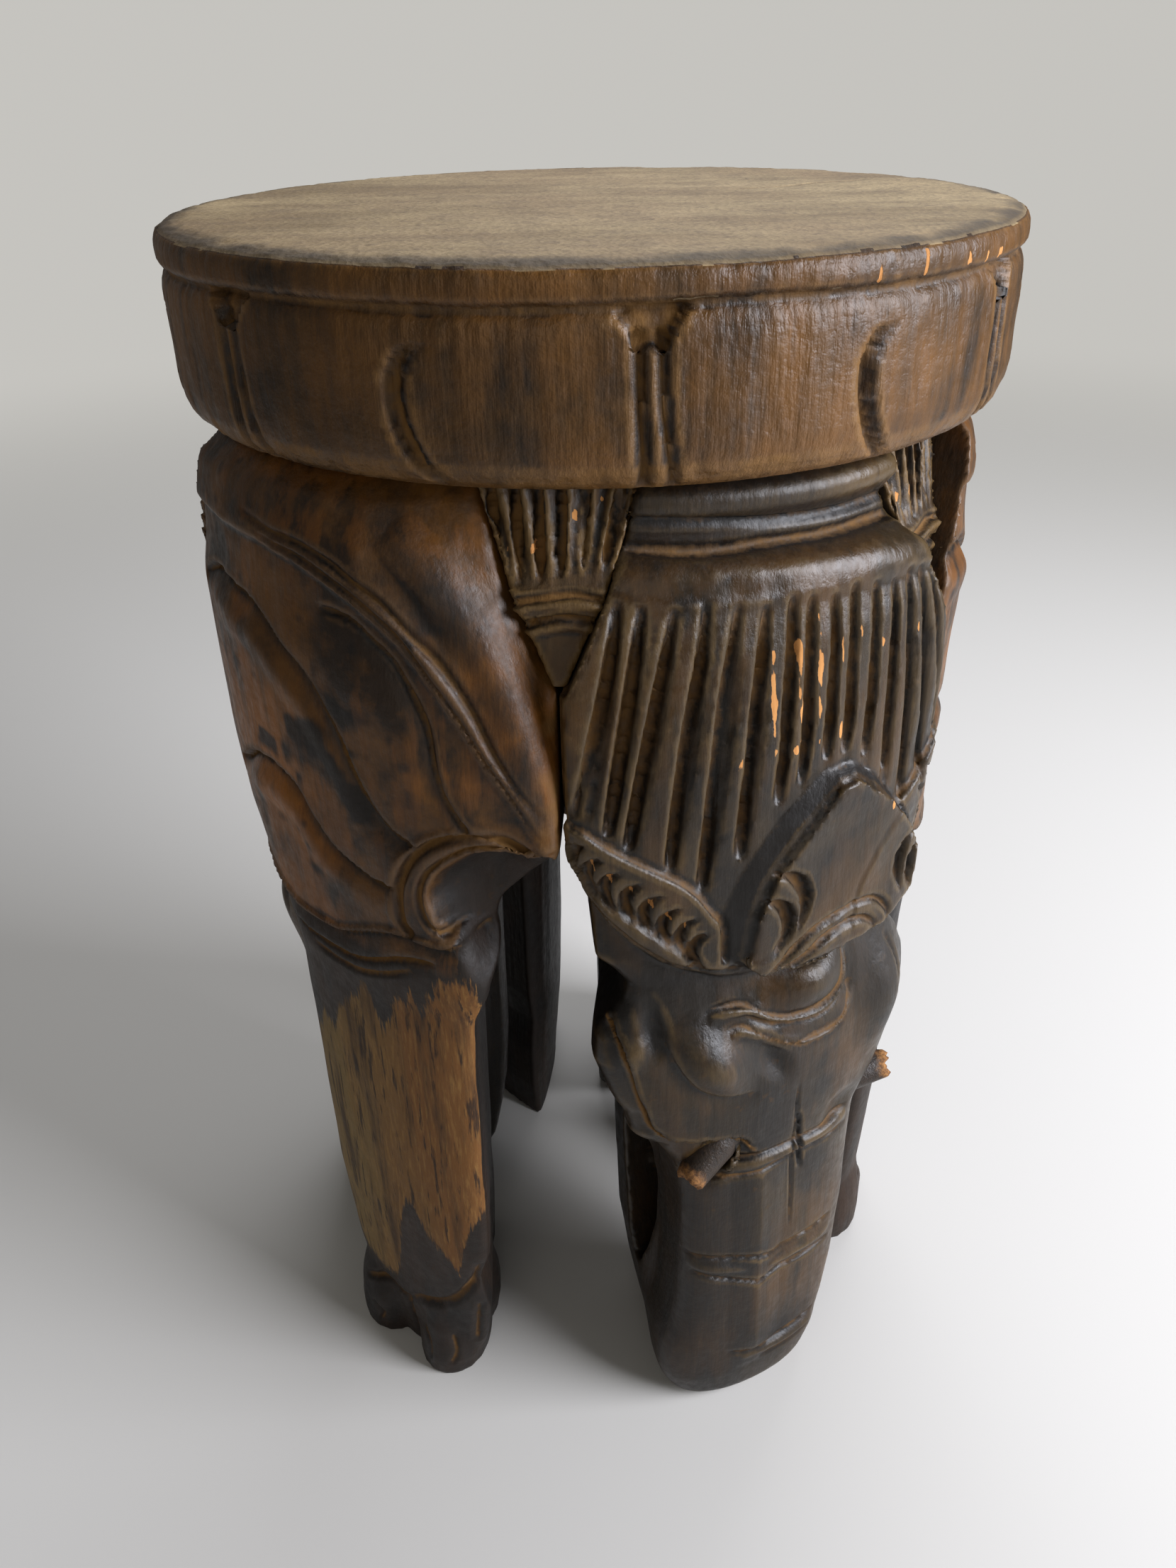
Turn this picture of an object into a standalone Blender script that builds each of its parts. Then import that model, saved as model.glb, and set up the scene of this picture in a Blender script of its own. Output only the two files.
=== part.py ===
"""Carved elephant stool: a petalled seat on a fan core, three elephant blocks and three leg blocks.

Metres, +Z up. The origin is on the floor at the middle of the stool. Azimuth 0 looks out along -Y
and grows towards +X. Each block is drawn in its own frame, where u runs outwards from the stool's
axis and t runs sideways, towards a larger azimuth.
"""

import math

import bmesh
import bpy
import numpy as np
from mathutils import Matrix, Vector

# Overall sizes
STOOL_HEIGHT = 0.450
SEAT_RADIUS = 0.142
SEAT_THICKNESS = 0.0585
GLUE_GAP = 0.0003
CUT_OVERRUN = 0.004

# Seat
TOP_ROUND_WIDTH = 0.005
TOP_ROUND_HEIGHT = 0.0035
LIP_HEIGHT = 0.0115
LIP_GROOVE_HEIGHT = 0.006
LIP_GROOVE_DEPTH = 0.0030
APRON_SETBACK = 0.0008
APRON_SHOULDER_HEIGHT = 0.003
APRON_TURN_HEIGHT = 0.009
APRON_TURN_WIDTH = 0.0027
APRON_FOOT_WIDTH = 0.0072
SEAT_STEPS = 84
PETAL_COUNT = 7
PETAL_FIRST_AZIMUTH = 5.8
PETAL_BAR_WIDTH = 0.0064
PETAL_BAR_DEPTH = 0.0024
PETAL_NOTCH_WIDTH = 0.0170
PETAL_NOTCH_HEIGHT = 0.0085
PETAL_NOTCH_DROP = 0.0158

# Layout of the blocks round the core, in degrees
HEAD_AZIMUTHS = (26.0, 149.0, 258.0)
LEG_AZIMUTHS = (-35.0, 87.0, 214.0)
JOINT_AZIMUTHS = (-5.0, 57.0, 118.0, 182.0, 236.0, 284.0)
HEAD_NAMES = ("front", "rear", "left")
LEG_NAMES = ("front", "right", "rear")

# How far out each block stands at its top and at its foot, as shares of the block's radius
HEAD_TOP_SHARES = (1.0, 0.97, 0.96)
HEAD_FOOT_SHARES = (1.0, 0.94, 0.93)
LEG_TOP_SHARES = (1.0, 0.955, 0.96)
LEG_FOOT_SHARES = (1.0, 0.880, 0.93)

# Fan core
CORE_RADIUS_SHARE = 0.620
CORE_FOOT_SHARE = 0.5822
CORE_SIDES = 48
SPIGOT_RADIUS = 0.028
SPIGOT_LENGTH = 0.022
FAN_TOP_RADIUS_SHARE = 0.8486
FAN_TIP_RADIUS_SHARE = 0.9155
FAN_HEIGHT_SHARE = 0.1333
FAN_TOP_WIDTH_SHARE = 0.1690
FAN_BAND_WIDTH_SHARE = 0.0986
FAN_TIP_WIDTH_SHARE = 0.0141
FAN_BAND_HEIGHT = 0.007
FAN_BAND_RISE = 0.0016
FAN_TOE_HEIGHT = 0.021
FAN_FLUTES = 7
FAN_SLOT_SLOPE = 1.15
FAN_FLUTE_DEPTH = 0.0040
FAN_ROOT_DEPTH = 0.004

# Blocks
BLOCK_SETBACK = 0.0005
BLOCK_WIDTH_SHARE = 0.493
REBATE_OVERLAP = 0.0023
HEM_RISE_SHARE = 0.1067
HEM_RISE_POWER = 3.0
OUTER_POINTS = 17
INNER_POINTS = 9

# Elephant block, bottom to top. Height is a share of the block's height, outer and inner of the
# block's radius, and the widths and the skew of the block's half width.
# (height, inner height, outer, outer width, inner, inner width, skew, mid, squareness, hem)
HEAD_STATION_SHARES = (
    (0.000, 0.000, 0.972, 0.40, 0.650, 0.28, 0.05, 0.62, 2.8, 0.0),
    (0.012, 0.012, 0.992, 0.47, 0.590, 0.30, 0.05, 0.66, 3.2, 0.0),
    (0.040, 0.040, 1.000, 0.54, 0.500, 0.32, 0.05, 0.72, 3.6, 0.0),
    (0.085, 0.085, 1.000, 0.58, 0.410, 0.34, 0.04, 0.76, 4.0, 0.0),
    (0.140, 0.140, 1.000, 0.61, 0.360, 0.36, 0.03, 0.78, 4.4, 0.0),
    (0.220, 0.220, 0.998, 0.63, 0.330, 0.37, 0.03, 0.78, 4.4, 0.0),
    (0.300, 0.300, 0.990, 0.640, 0.325, 0.37, 0.03, 0.78, 4.4, 0.0),
    (0.345, 0.345, 0.986, 0.68, 0.320, 0.37, 0.03, 0.78, 4.0, 0.0),
    (0.385, 0.385, 0.996, 0.86, 0.315, 0.38, 0.04, 0.80, 3.8, 0.0),
    (0.430, 0.430, 1.000, 1.00, 0.310, 0.38, 0.05, 0.82, 3.8, 0.05),
    (0.480, 0.480, 0.998, 1.05, 0.310, 0.40, 0.06, 0.82, 3.8, 0.15),
    (0.525, 0.525, 0.975, 1.02, 0.310, 0.43, 0.07, 0.82, 3.8, 0.45),
    (0.562, 0.565, 0.945, 0.92, 0.310, 0.46, 0.08, 0.82, 3.8, 0.85),
    (0.572, 0.600, 0.978, 0.98, 0.310, 0.50, 0.08, 0.84, 4.6, 1.0),
    (0.592, 0.672, 0.998, 1.06, 0.310, 0.54, 0.06, 0.84, 5.6, 1.0),
)
HEAD_CAP_SHARES = (
    (0.640, 0.672, 1.000, 1.10, 0.86, 8.0, 1.0),
    (0.720, 0.710, 1.000, 1.10, 0.88, 9.0, 0.85),
    (0.800, 0.790, 0.990, 1.10, 0.88, 9.0, 0.55),
    (0.870, 0.860, 0.966, 1.10, 0.86, 8.0, 0.25),
    (0.908, 0.908, 0.942, 1.05, 0.80, 5.0, 0.0),
    (0.926, 0.926, 0.905, 0.94, 0.76, 4.0, 0.0),
    (0.938, 0.938, 0.862, 0.84, 0.74, 4.0, 0.0),
    (0.954, 0.954, 0.855, 0.78, 0.74, 4.0, 0.0),
    (0.962, 0.962, 0.868, 0.76, 0.74, 4.0, 0.0),
    (0.978, 0.978, 0.878, 0.74, 0.74, 4.0, 0.0),
    (1.000, 1.000, 0.850, 0.70, 0.74, 4.0, 0.0),
)
HEAD_SHIFT_HEIGHT_SHARES = (0.0, 0.05, 0.14, 0.22, 0.345, 0.43, 0.525, 0.57)
HEAD_SHIFT_SHARES = (0.0, 0.01, 0.04, 0.06, 0.07, 0.11, 0.10, 0.0)
HEAD_FOOT_REACH_SHARES = (1.0, 0.15, 0.60)
HEAD_INNER_SHARE = 0.325
HEAD_SKEW_SHARES = (0.0, 0.19, 0.08)

# Cap flutes
FLUTE_TOP_ANGLES = (
    -23.4, -20.4, -16.3, -12.3, -8.0, -4.3, -0.4, 2.6, 6.0, 9.7, 13.7, 17.3, 20.8, 24.0,
)
FLUTE_FOOT_ANGLES = (
    -27.6, -25.1, -22.6, -17.3, -13.0, -7.9, -2.7, 0.6, 4.4, 7.4, 11.2, 15.5, 20.0, 24.6,
)
FLUTE_FOOT_SHARES = (
    0.748, 0.731, 0.719, 0.697, 0.674, 0.700, 0.742, 0.748, 0.761, 0.757, 0.742, 0.722, 0.697, 0.712,
)
FLUTE_EDGE_ANGLE = 3.0
FLUTE_WIDTH = 0.0052
FLUTE_RIM_WIDTH_SHARE = 1.5
FLUTE_DEPTH = 0.0032
FLUTE_TOP_SHARE = 0.915
FLUTE_SECTION_SHARES = ((0.0, 1.000, 0.85), (0.45, 0.990, 1.0), (0.80, 0.966, 0.75), (1.0, 0.944, 0.12))

# Forehead shield: its outline as shares of the block's half width and height
SHIELD_OUTLINE_SHARES = (
    (-0.255, 0.597), (-0.178, 0.583), (0.141, 0.581), (0.560, 0.590), (0.761, 0.610), (0.777, 0.650),
    (0.695, 0.680), (0.543, 0.716), (0.297, 0.751), (0.200, 0.749), (-0.131, 0.680), (-0.213, 0.645),
)
SHIELD_RISE = 0.003
SHIELD_DEPTH = 0.030

# Trunk loop, as shares of the block's radius and height
LOOP_HOLE_SHARES = (
    (0.640, 0.115), (0.600, 0.150), (0.560, 0.210), (0.545, 0.270), (0.555, 0.310), (0.600, 0.332),
    (0.670, 0.330), (0.715, 0.305), (0.730, 0.260), (0.725, 0.200), (0.705, 0.150), (0.680, 0.118),
)

# Tusk stubs
TUSK_ROOT_RADIUS = 0.0075
TUSK_TIP_RADIUS = 0.0050
TUSK_LENGTH = 0.034
TUSK_SOCKET_DEPTH = 0.018
TUSK_SIDES = 12
LEFT_TUSK_WIDTH_SHARE = -0.30
LEFT_TUSK_OUTER_SHARE = 0.930
LEFT_TUSK_HEIGHT_SHARE = 0.362
RIGHT_TUSK_WIDTH_SHARES = (0.74, 0.70, 0.56)
RIGHT_TUSK_OUTER_SHARE = 0.835
RIGHT_TUSK_HEIGHT_SHARE = 0.352
LEFT_TUSK_LEAN = (-0.78, 0.30, -0.55)
RIGHT_TUSK_LEAN = (0.90, 0.35, 0.15)

# Leg block, bottom to top, in the same shares as the elephant block
LEG_STATION_SHARES = (
    (0.000, 0.000, 0.925, 0.52, 0.12, 0.72, 3.2, 0.00),
    (0.060, 0.060, 0.950, 0.59, 0.15, 0.76, 3.4, 0.00),
    (0.115, 0.115, 0.964, 0.64, 0.17, 0.80, 3.8, 0.00),
    (0.230, 0.230, 0.980, 0.69, 0.19, 0.82, 4.2, 0.00),
    (0.340, 0.340, 0.986, 0.70, 0.21, 0.82, 4.4, 0.00),
    (0.440, 0.440, 0.986, 0.70, 0.23, 0.82, 4.4, 0.00),
    (0.520, 0.520, 0.988, 0.70, 0.25, 0.82, 4.4, 0.06),
    (0.552, 0.552, 0.998, 0.74, 0.27, 0.82, 4.4, 0.13),
    (0.590, 0.580, 1.003, 0.77, 0.30, 0.82, 5.0, 0.26),
    (0.625, 0.610, 1.006, 0.80, 0.34, 0.84, 6.0, 0.48),
    (0.655, 0.672, 1.008, 0.86, 0.38, 0.86, 8.0, 0.74),
)
HAUNCH_SHARES = (
    (0.685, 0.672, 1.010, 0.92, 0.88, 12.0, 0.94),
    (0.715, 0.700, 1.012, 1.10, 0.90, 16.0, 1.00),
    (0.790, 0.790, 1.015, 1.10, 0.90, 18.0, 1.00),
    (0.860, 0.860, 1.015, 1.10, 0.90, 18.0, 1.00),
    (0.910, 0.910, 1.012, 1.10, 0.90, 16.0, 1.00),
    (0.950, 0.950, 1.004, 1.10, 0.88, 14.0, 1.00),
    (0.980, 0.980, 0.990, 1.10, 0.86, 12.0, 1.00),
    (1.000, 1.000, 0.945, 1.10, 0.86, 10.0, 1.00),
)
LEG_SHIFT_HEIGHT_SHARES = (0.0, 0.52, 0.60)
LEG_SHIFT_SHARES = (-0.075, -0.07, 0.0)
LEG_TOE_SHIFT_SHARES = (0.0, 0.0, 0.17)
LEG_INNER_SHARES = (0.42, 0.36, 0.285)
LEG_SKEW_SHARES = (-0.20, 0.0, 0.215)
RIDGE_HEIGHT_SHARES = (0.985, 0.958, 0.943, 0.921, 0.872, 0.811, 0.759, 0.723, 0.700)
RIDGE_WIDTH_SHARES = (-1.0, -0.42, -0.14, 0.17, 0.48, 0.72, 0.88, 0.96, 1.0)
SHOULDER_FALL = 0.020
SHOULDER_REACH = 0.050
SHOULDER_POWER = 1.4

# Foot lobes: middle toe, left lobe and right lobe, as (side, outward, height, and three radii), in
# shares of the block's radius
TOE_LOBE_SHARES = (
    (0.071, 0.845, 0.071, 0.124, 0.152, 0.205),
    (-0.198, 0.837, 0.085, 0.134, 0.145, 0.240),
    (0.000, 0.707, 0.099, 0.145, 0.141, 0.297),
)
LOBE_SEGMENTS = 16
LOBE_RINGS = 10

# Dowels
DOWEL_RADIUS = 0.005
DOWEL_LENGTH = 0.040
DOWEL_SIDES = 16
SEAT_DOWEL_CIRCLE_SHARE = 0.7606
CORE_DOWEL_HEIGHT_SHARE = 0.7067

# Stains: name, colour and roughness
STAINS = {
    "seat stain": ((0.118, 0.062, 0.034, 1.0), 0.45),
    "cap stain": ((0.030, 0.020, 0.014, 1.0), 0.38),
    "haunch stain": ((0.075, 0.038, 0.020, 1.0), 0.42),
    "fan stain": ((0.060, 0.036, 0.020, 1.0), 0.50),
    "raw wood": ((0.420, 0.190, 0.070, 1.0), 0.70),
    "dowel wood": ((0.500, 0.330, 0.170, 1.0), 0.70),
}

# Sizes that follow the stool's radius and height
TOP_FLAT_RADIUS = SEAT_RADIUS - TOP_ROUND_WIDTH
APRON_RADIUS = SEAT_RADIUS - APRON_SETBACK
APRON_TURN_RADIUS = APRON_RADIUS - APRON_TURN_WIDTH
APRON_FOOT_RADIUS = APRON_RADIUS - APRON_FOOT_WIDTH
CORE_RADIUS = SEAT_RADIUS * CORE_RADIUS_SHARE
CORE_FOOT_HEIGHT = STOOL_HEIGHT * CORE_FOOT_SHARE
FAN_TOP_RADIUS = SEAT_RADIUS * FAN_TOP_RADIUS_SHARE
FAN_TIP_RADIUS = SEAT_RADIUS * FAN_TIP_RADIUS_SHARE
FAN_HEIGHT = STOOL_HEIGHT * FAN_HEIGHT_SHARE
FAN_TOP_HALF_WIDTH = SEAT_RADIUS * FAN_TOP_WIDTH_SHARE
FAN_BAND_HALF_WIDTH = SEAT_RADIUS * FAN_BAND_WIDTH_SHARE
FAN_TIP_HALF_WIDTH = SEAT_RADIUS * FAN_TIP_WIDTH_SHARE
BLOCK_RADIUS = SEAT_RADIUS - BLOCK_SETBACK
BLOCK_HALF_WIDTH = SEAT_RADIUS * BLOCK_WIDTH_SHARE
HEM_RISE = STOOL_HEIGHT * HEM_RISE_SHARE
SEAT_DOWEL_CIRCLE = SEAT_RADIUS * SEAT_DOWEL_CIRCLE_SHARE
CORE_DOWEL_HEIGHT = STOOL_HEIGHT * CORE_DOWEL_HEIGHT_SHARE
SEAT_FOOT_HEIGHT = STOOL_HEIGHT - SEAT_THICKNESS
BLOCK_HEIGHT = SEAT_FOOT_HEIGHT - GLUE_GAP
CORE_SEAT_RADIUS = CORE_RADIUS + GLUE_GAP


def clear_scene():
    """Remove whatever the scene holds."""
    for obj in list(bpy.data.objects):
        bpy.data.objects.remove(obj, do_unlink=True)


def collection(name, shown=True):
    """Return a new collection linked to the scene."""
    made = bpy.data.collections.new(name)
    bpy.context.scene.collection.children.link(made)
    made.hide_render = not shown
    return made


def stain(name):
    """Return the Principled material of one stain."""
    known = bpy.data.materials.get(name)
    if known:
        return known
    colour, roughness = STAINS[name]
    made = bpy.data.materials.new(name)
    made.use_nodes = True
    shader = made.node_tree.nodes["Principled BSDF"]
    shader.inputs["Base Color"].default_value = colour
    shader.inputs["Roughness"].default_value = roughness
    shader.inputs["Metallic"].default_value = 0.0
    made.diffuse_color = colour
    return made


def place(name, mesh, home, finish=None):
    """Link a mesh as a named object in the collection home."""
    obj = bpy.data.objects.new(name, mesh)
    home.objects.link(obj)
    if finish:
        mesh.materials.append(stain(finish))
        mesh.shade_smooth()
        mesh.set_sharp_from_angle(angle=math.radians(35))
    else:
        obj.hide_render = True
        obj.display_type = "WIRE"
    return obj


def block_matrix(azimuth):
    """Turn a block's frame to its azimuth."""
    return Matrix.Rotation(math.radians(azimuth), 4, "Z")


def local(sideways, outward, height):
    """A point or a direction in a block's frame, whose outward side is -Y."""
    return Vector((sideways, -outward, height))


def loft(name, rings):
    """Join closed rings of equal point counts, bottom to top, with a flat cap at each end."""
    shape = bmesh.new()
    rows = [[shape.verts.new(point) for point in ring] for ring in rings]
    count = len(rows[0])
    for low, high in zip(rows, rows[1:]):
        for i in range(count):
            j = (i + 1) % count
            shape.faces.new((low[i], low[j], high[j], high[i]))
    shape.faces.new(list(reversed(rows[0])))
    shape.faces.new(rows[-1])
    shape.normal_update()
    bmesh.ops.triangulate(shape, faces=shape.faces)
    bmesh.ops.recalc_face_normals(shape, faces=shape.faces)
    mesh = bpy.data.meshes.new(name)
    shape.to_mesh(mesh)
    shape.free()
    return mesh


def evaluated_mesh(obj, name):
    """Apply an object's modifiers and its matrix into a new mesh."""
    graph = bpy.context.evaluated_depsgraph_get()
    graph.update()
    mesh = bpy.data.meshes.new_from_object(obj.evaluated_get(graph))
    mesh.transform(obj.matrix_world)
    mesh.name = name
    return mesh


def clean(mesh):
    """Merge the corners that a Boolean leaves closer than a hair, and make every face a triangle."""
    shape = bmesh.new()
    shape.from_mesh(mesh)
    bmesh.ops.remove_doubles(shape, verts=shape.verts, dist=GLUE_GAP / 300)
    shape.normal_update()
    bmesh.ops.triangulate(shape, faces=shape.faces)
    shape.to_mesh(mesh)
    shape.free()
    return mesh


def join_meshes(name, parts, home):
    """Put separate closed meshes into one helper object."""
    shape = bmesh.new()
    for mesh, matrix in parts:
        piece = mesh.copy()
        piece.transform(matrix)
        shape.from_mesh(piece)
        bpy.data.meshes.remove(piece)
    mesh = bpy.data.meshes.new(name)
    shape.to_mesh(mesh)
    shape.free()
    return place(name, mesh, home)


def boolean(obj, other, operation, label):
    """Add an EXACT Boolean to an object."""
    cut = obj.modifiers.new(label, "BOOLEAN")
    cut.operation = operation
    cut.object = other
    cut.solver = "EXACT"


def cylinder_mesh(radius, length, sides, top_radius=None):
    """A closed cylinder or cone along +Z from the origin."""
    shape = bmesh.new()
    bmesh.ops.create_cone(
        shape,
        cap_ends=True,
        segments=sides,
        radius1=radius,
        radius2=radius if top_radius is None else top_radius,
        depth=length,
        matrix=Matrix.Translation((0.0, 0.0, length / 2)),
    )
    mesh = bpy.data.meshes.new("turned rod")
    shape.to_mesh(mesh)
    shape.free()
    return mesh


def along(start, direction):
    """The matrix that stands a piece made along +Z at start, pointing in a direction."""
    turn = Vector(direction).to_track_quat("Z", "Y").to_matrix().to_4x4()
    return Matrix.Translation(start) @ turn


def joint_limits(azimuth):
    """The angles from a block's own azimuth to the joint before it and the joint after it."""
    before = min((azimuth - joint) % 360 for joint in JOINT_AZIMUTHS)
    after = min((joint - azimuth) % 360 for joint in JOINT_AZIMUTHS)
    return before, after


def fan_half_width(height):
    """Half the width of a fan at this height. Its sides stand parallel to its middle plane."""
    top = SEAT_FOOT_HEIGHT
    band = top - FAN_HEIGHT + FAN_TOE_HEIGHT + FAN_BAND_HEIGHT
    heights = (top - FAN_HEIGHT, band, top)
    widths = (FAN_TIP_HALF_WIDTH, FAN_BAND_HALF_WIDTH, FAN_TOP_HALF_WIDTH)
    return float(np.interp(height, heights, widths))


def joint_width(radius, limit):
    """How far sideways a block may reach at this radius before it meets the joint."""
    return radius * math.sin(math.radians(limit)) - GLUE_GAP


def ring_parameters():
    """Sideways places from -1 to 1 on the outer side, then back along the inner side."""
    outer = np.sin(np.linspace(-math.pi / 2, math.pi / 2, OUTER_POINTS))
    inner = np.sin(np.linspace(math.pi / 2, -math.pi / 2, INNER_POINTS + 2))[1:-1]
    return outer, inner


def wedge_ring(station, limits, outer_fall=None):
    """One ring of a block: a wedge with rounded corners whose faces follow circles round the axis.

    The station holds real sizes. outer_fall, if given, lowers the outer face by place and height.
    """
    outer_side, inner_side = ring_parameters()
    middle = station["inner"] + station["mid"] * (station["outer"] - station["inner"])
    points = []
    fill = station["fill"]
    for side, is_outer in [(x, True) for x in outer_side] + [(x, False) for x in inner_side]:
        reach = (1 - abs(side) ** station["square"]) ** (1 / station["square"])
        if is_outer:
            height = station["height"] + station["hem"] * HEM_RISE * abs(side) ** HEM_RISE_POWER
            height = min(height, BLOCK_HEIGHT)
            radius = middle + reach * (station["outer"] - middle)
        else:
            edge = min(station["height"] + station["hem"] * HEM_RISE, BLOCK_HEIGHT)
            height = station["inner height"] + side * side * (edge - station["inner height"])
            radius = middle - reach * (middle - station["inner"])
        if is_outer and outer_fall:
            radius -= outer_fall(side, height) * reach
        share = (radius - station["inner"]) / (station["outer"] - station["inner"])
        width = station["inner width"] + share * (station["outer width"] - station["inner width"])
        full = joint_width(radius, limits[0] if side < 0 else limits[1])
        width = min((1 - fill) * width + fill * full, full)
        t = side * width + station["skew"] * (1 - share) + station["shift"] * share
        bound = joint_width(radius, limits[0] if t < 0 else limits[1])
        t = max(-bound, min(bound, t))
        points.append(local(t, math.sqrt(radius * radius - t * t), height))
    return points


def free_station(shares, inner_share, skew_share, shift_share):
    """A station below the core, where the block stands free on all sides."""
    height, inner_height, outer, outer_width, inner_width, mid, square, hem, fill = shares
    return {
        "fill": fill,
        "height": height * BLOCK_HEIGHT,
        "inner height": min(inner_height * BLOCK_HEIGHT, free_top()),
        "outer": outer * BLOCK_RADIUS,
        "outer width": outer_width * BLOCK_HALF_WIDTH,
        "inner": inner_share * BLOCK_RADIUS,
        "inner width": inner_width * BLOCK_HALF_WIDTH,
        "skew": skew_share * BLOCK_HALF_WIDTH,
        "shift": shift_share * BLOCK_HALF_WIDTH,
        "mid": mid,
        "square": square,
        "hem": hem,
    }


def core_station(shares):
    """A station beside the core, where the block's inner face seats on the core."""
    height, inner_height, outer, outer_width, mid, square, hem, fill = shares
    return {
        "fill": fill,
        "height": height * BLOCK_HEIGHT,
        "inner height": max(inner_height * BLOCK_HEIGHT, CORE_FOOT_HEIGHT + 2 * REBATE_OVERLAP),
        "outer": outer * BLOCK_RADIUS,
        "outer width": outer_width * BLOCK_HALF_WIDTH,
        "inner": CORE_SEAT_RADIUS - REBATE_OVERLAP,
        "inner width": BLOCK_HALF_WIDTH,
        "skew": 0.0,
        "shift": 0.0,
        "mid": mid,
        "square": square,
        "hem": hem,
    }


def free_top():
    """The height up to which a block's inner end stands before the rebate for the core is cut."""
    return CORE_FOOT_HEIGHT + REBATE_OVERLAP


def head_rings(index, limits):
    """The rings of an elephant block, from the foot of the trunk to the neck roll."""
    rings = []
    reach = HEAD_FOOT_REACH_SHARES[index]
    for height, inner_height, outer, width, inner, inner_width, skew, mid, square, hem in HEAD_STATION_SHARES:
        inner_share = HEAD_INNER_SHARE + (inner - HEAD_INNER_SHARE) * reach
        station = free_station(
            (height, inner_height, outer, width, inner_width, mid, square, hem, 0.0),
            inner_share,
            skew + HEAD_SKEW_SHARES[index],
            float(np.interp(height, HEAD_SHIFT_HEIGHT_SHARES, HEAD_SHIFT_SHARES)),
        )
        rings.append(wedge_ring(station, limits))
    for height, inner_height, outer, width, mid, square, hem in HEAD_CAP_SHARES:
        fill = min(1.0, max(0.0, (width - 0.70) / 0.40))
        station = core_station((height, inner_height, outer, width, mid, square, hem, fill))
        rings.append(wedge_ring(station, limits))
    return rings


def shoulder_fall(side, height):
    """How far the haunch's shoulder lies behind its outer face above the carved ridge."""
    ridge = float(np.interp(side, RIDGE_WIDTH_SHARES, RIDGE_HEIGHT_SHARES)) * BLOCK_HEIGHT
    above = max(0.0, height - ridge)
    return SHOULDER_FALL * min(1.0, (above / SHOULDER_REACH)) ** SHOULDER_POWER


def leg_rings(index, limits):
    """The rings of a leg block, from the foot to the haunch's top."""
    rings = []
    rings.append([])
    for height, inner_height, outer, width, inner_width, mid, square, fill in LEG_STATION_SHARES:
        station = free_station(
            (height, inner_height, outer, width, inner_width, mid, square, 0.0, fill),
            LEG_INNER_SHARES[index],
            LEG_SKEW_SHARES[index],
            float(np.interp(height, LEG_SHIFT_HEIGHT_SHARES, LEG_SHIFT_SHARES)),
        )
        rings.append(wedge_ring(station, limits))
    rings[0] = [point - Vector((0.0, 0.0, CUT_OVERRUN)) for point in rings[1]]
    for height, inner_height, outer, width, mid, square, fill in HAUNCH_SHARES:
        station = core_station((height, inner_height, outer, width, mid, square, 0.0, fill))
        rings.append(wedge_ring(station, limits, shoulder_fall))
    return rings


def squeeze(mesh, top_share, foot_share):
    """Draw the outside of a block in towards the core, by one share at its top and one at its foot."""
    for vertex in mesh.vertices:
        place_now = vertex.co
        radius = math.hypot(place_now.x, place_now.y)
        if radius <= CORE_SEAT_RADIUS:
            continue
        rise = min(1.0, max(0.0, place_now.z / BLOCK_HEIGHT))
        share = foot_share + (top_share - foot_share) * rise
        span = BLOCK_RADIUS - CORE_SEAT_RADIUS
        pull = (BLOCK_RADIUS * share - CORE_SEAT_RADIUS) / span
        wanted = CORE_SEAT_RADIUS + (radius - CORE_SEAT_RADIUS) * pull
        place_now.x *= wanted / radius
        place_now.y *= wanted / radius


def core_cutter():
    """The rebate that the core sits in: a drum with its clearance, in the stool's frame."""
    foot = CORE_FOOT_HEIGHT - GLUE_GAP
    mesh = cylinder_mesh(CORE_SEAT_RADIUS, BLOCK_HEIGHT + CUT_OVERRUN - foot, CORE_SIDES)
    mesh.transform(Matrix.Translation((0.0, 0.0, foot)))
    return mesh


def fan_cutter():
    """The slot that a fan sits in, with its clearance, at azimuth 0."""
    toe = SEAT_FOOT_HEIGHT - FAN_HEIGHT
    band = toe + FAN_TOE_HEIGHT + FAN_BAND_HEIGHT
    inner = CORE_RADIUS - CUT_OVERRUN
    outer = BLOCK_RADIUS + CUT_OVERRUN
    rings = []
    top = SEAT_FOOT_HEIGHT
    for height, lift in ((toe, -GLUE_GAP), (band, 0.0), (top, 0.0), (top, CUT_OVERRUN)):
        ring = []
        for radius, side in ((outer, -1), (outer, 1), (inner, 1), (inner, -1)):
            width = fan_half_width(height) + GLUE_GAP * FAN_SLOT_SLOPE
            ring.append(local(side * width, radius, height + lift))
        rings.append(ring)
    return loft("fan slot", rings)


def seat_cutters(limits):
    """The rebate and the two fan slots of a block, in its own frame."""
    slots = [(fan_cutter(), block_matrix(limits[1])), (fan_cutter(), block_matrix(-limits[0]))]
    return [[(core_cutter(), Matrix.Identity(4))], slots]


def dowel_hole():
    """A hole for half a dowel, with its clearance, along +Z from the mouth."""
    depth = DOWEL_LENGTH / 2 + GLUE_GAP
    mesh = cylinder_mesh(DOWEL_RADIUS + GLUE_GAP, depth + CUT_OVERRUN, DOWEL_SIDES)
    mesh.transform(Matrix.Translation((0.0, 0.0, -CUT_OVERRUN)))
    return mesh


def block_dowel_cutters():
    """The two dowel holes of a block, in its own frame."""
    upright = along(local(0.0, SEAT_DOWEL_CIRCLE, SEAT_FOOT_HEIGHT), (0.0, 0.0, -1.0))
    level = along(local(0.0, CORE_SEAT_RADIUS, CORE_DOWEL_HEIGHT), local(0.0, 1.0, 0.0))
    return [(dowel_hole(), upright), (dowel_hole(), level)]


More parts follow.
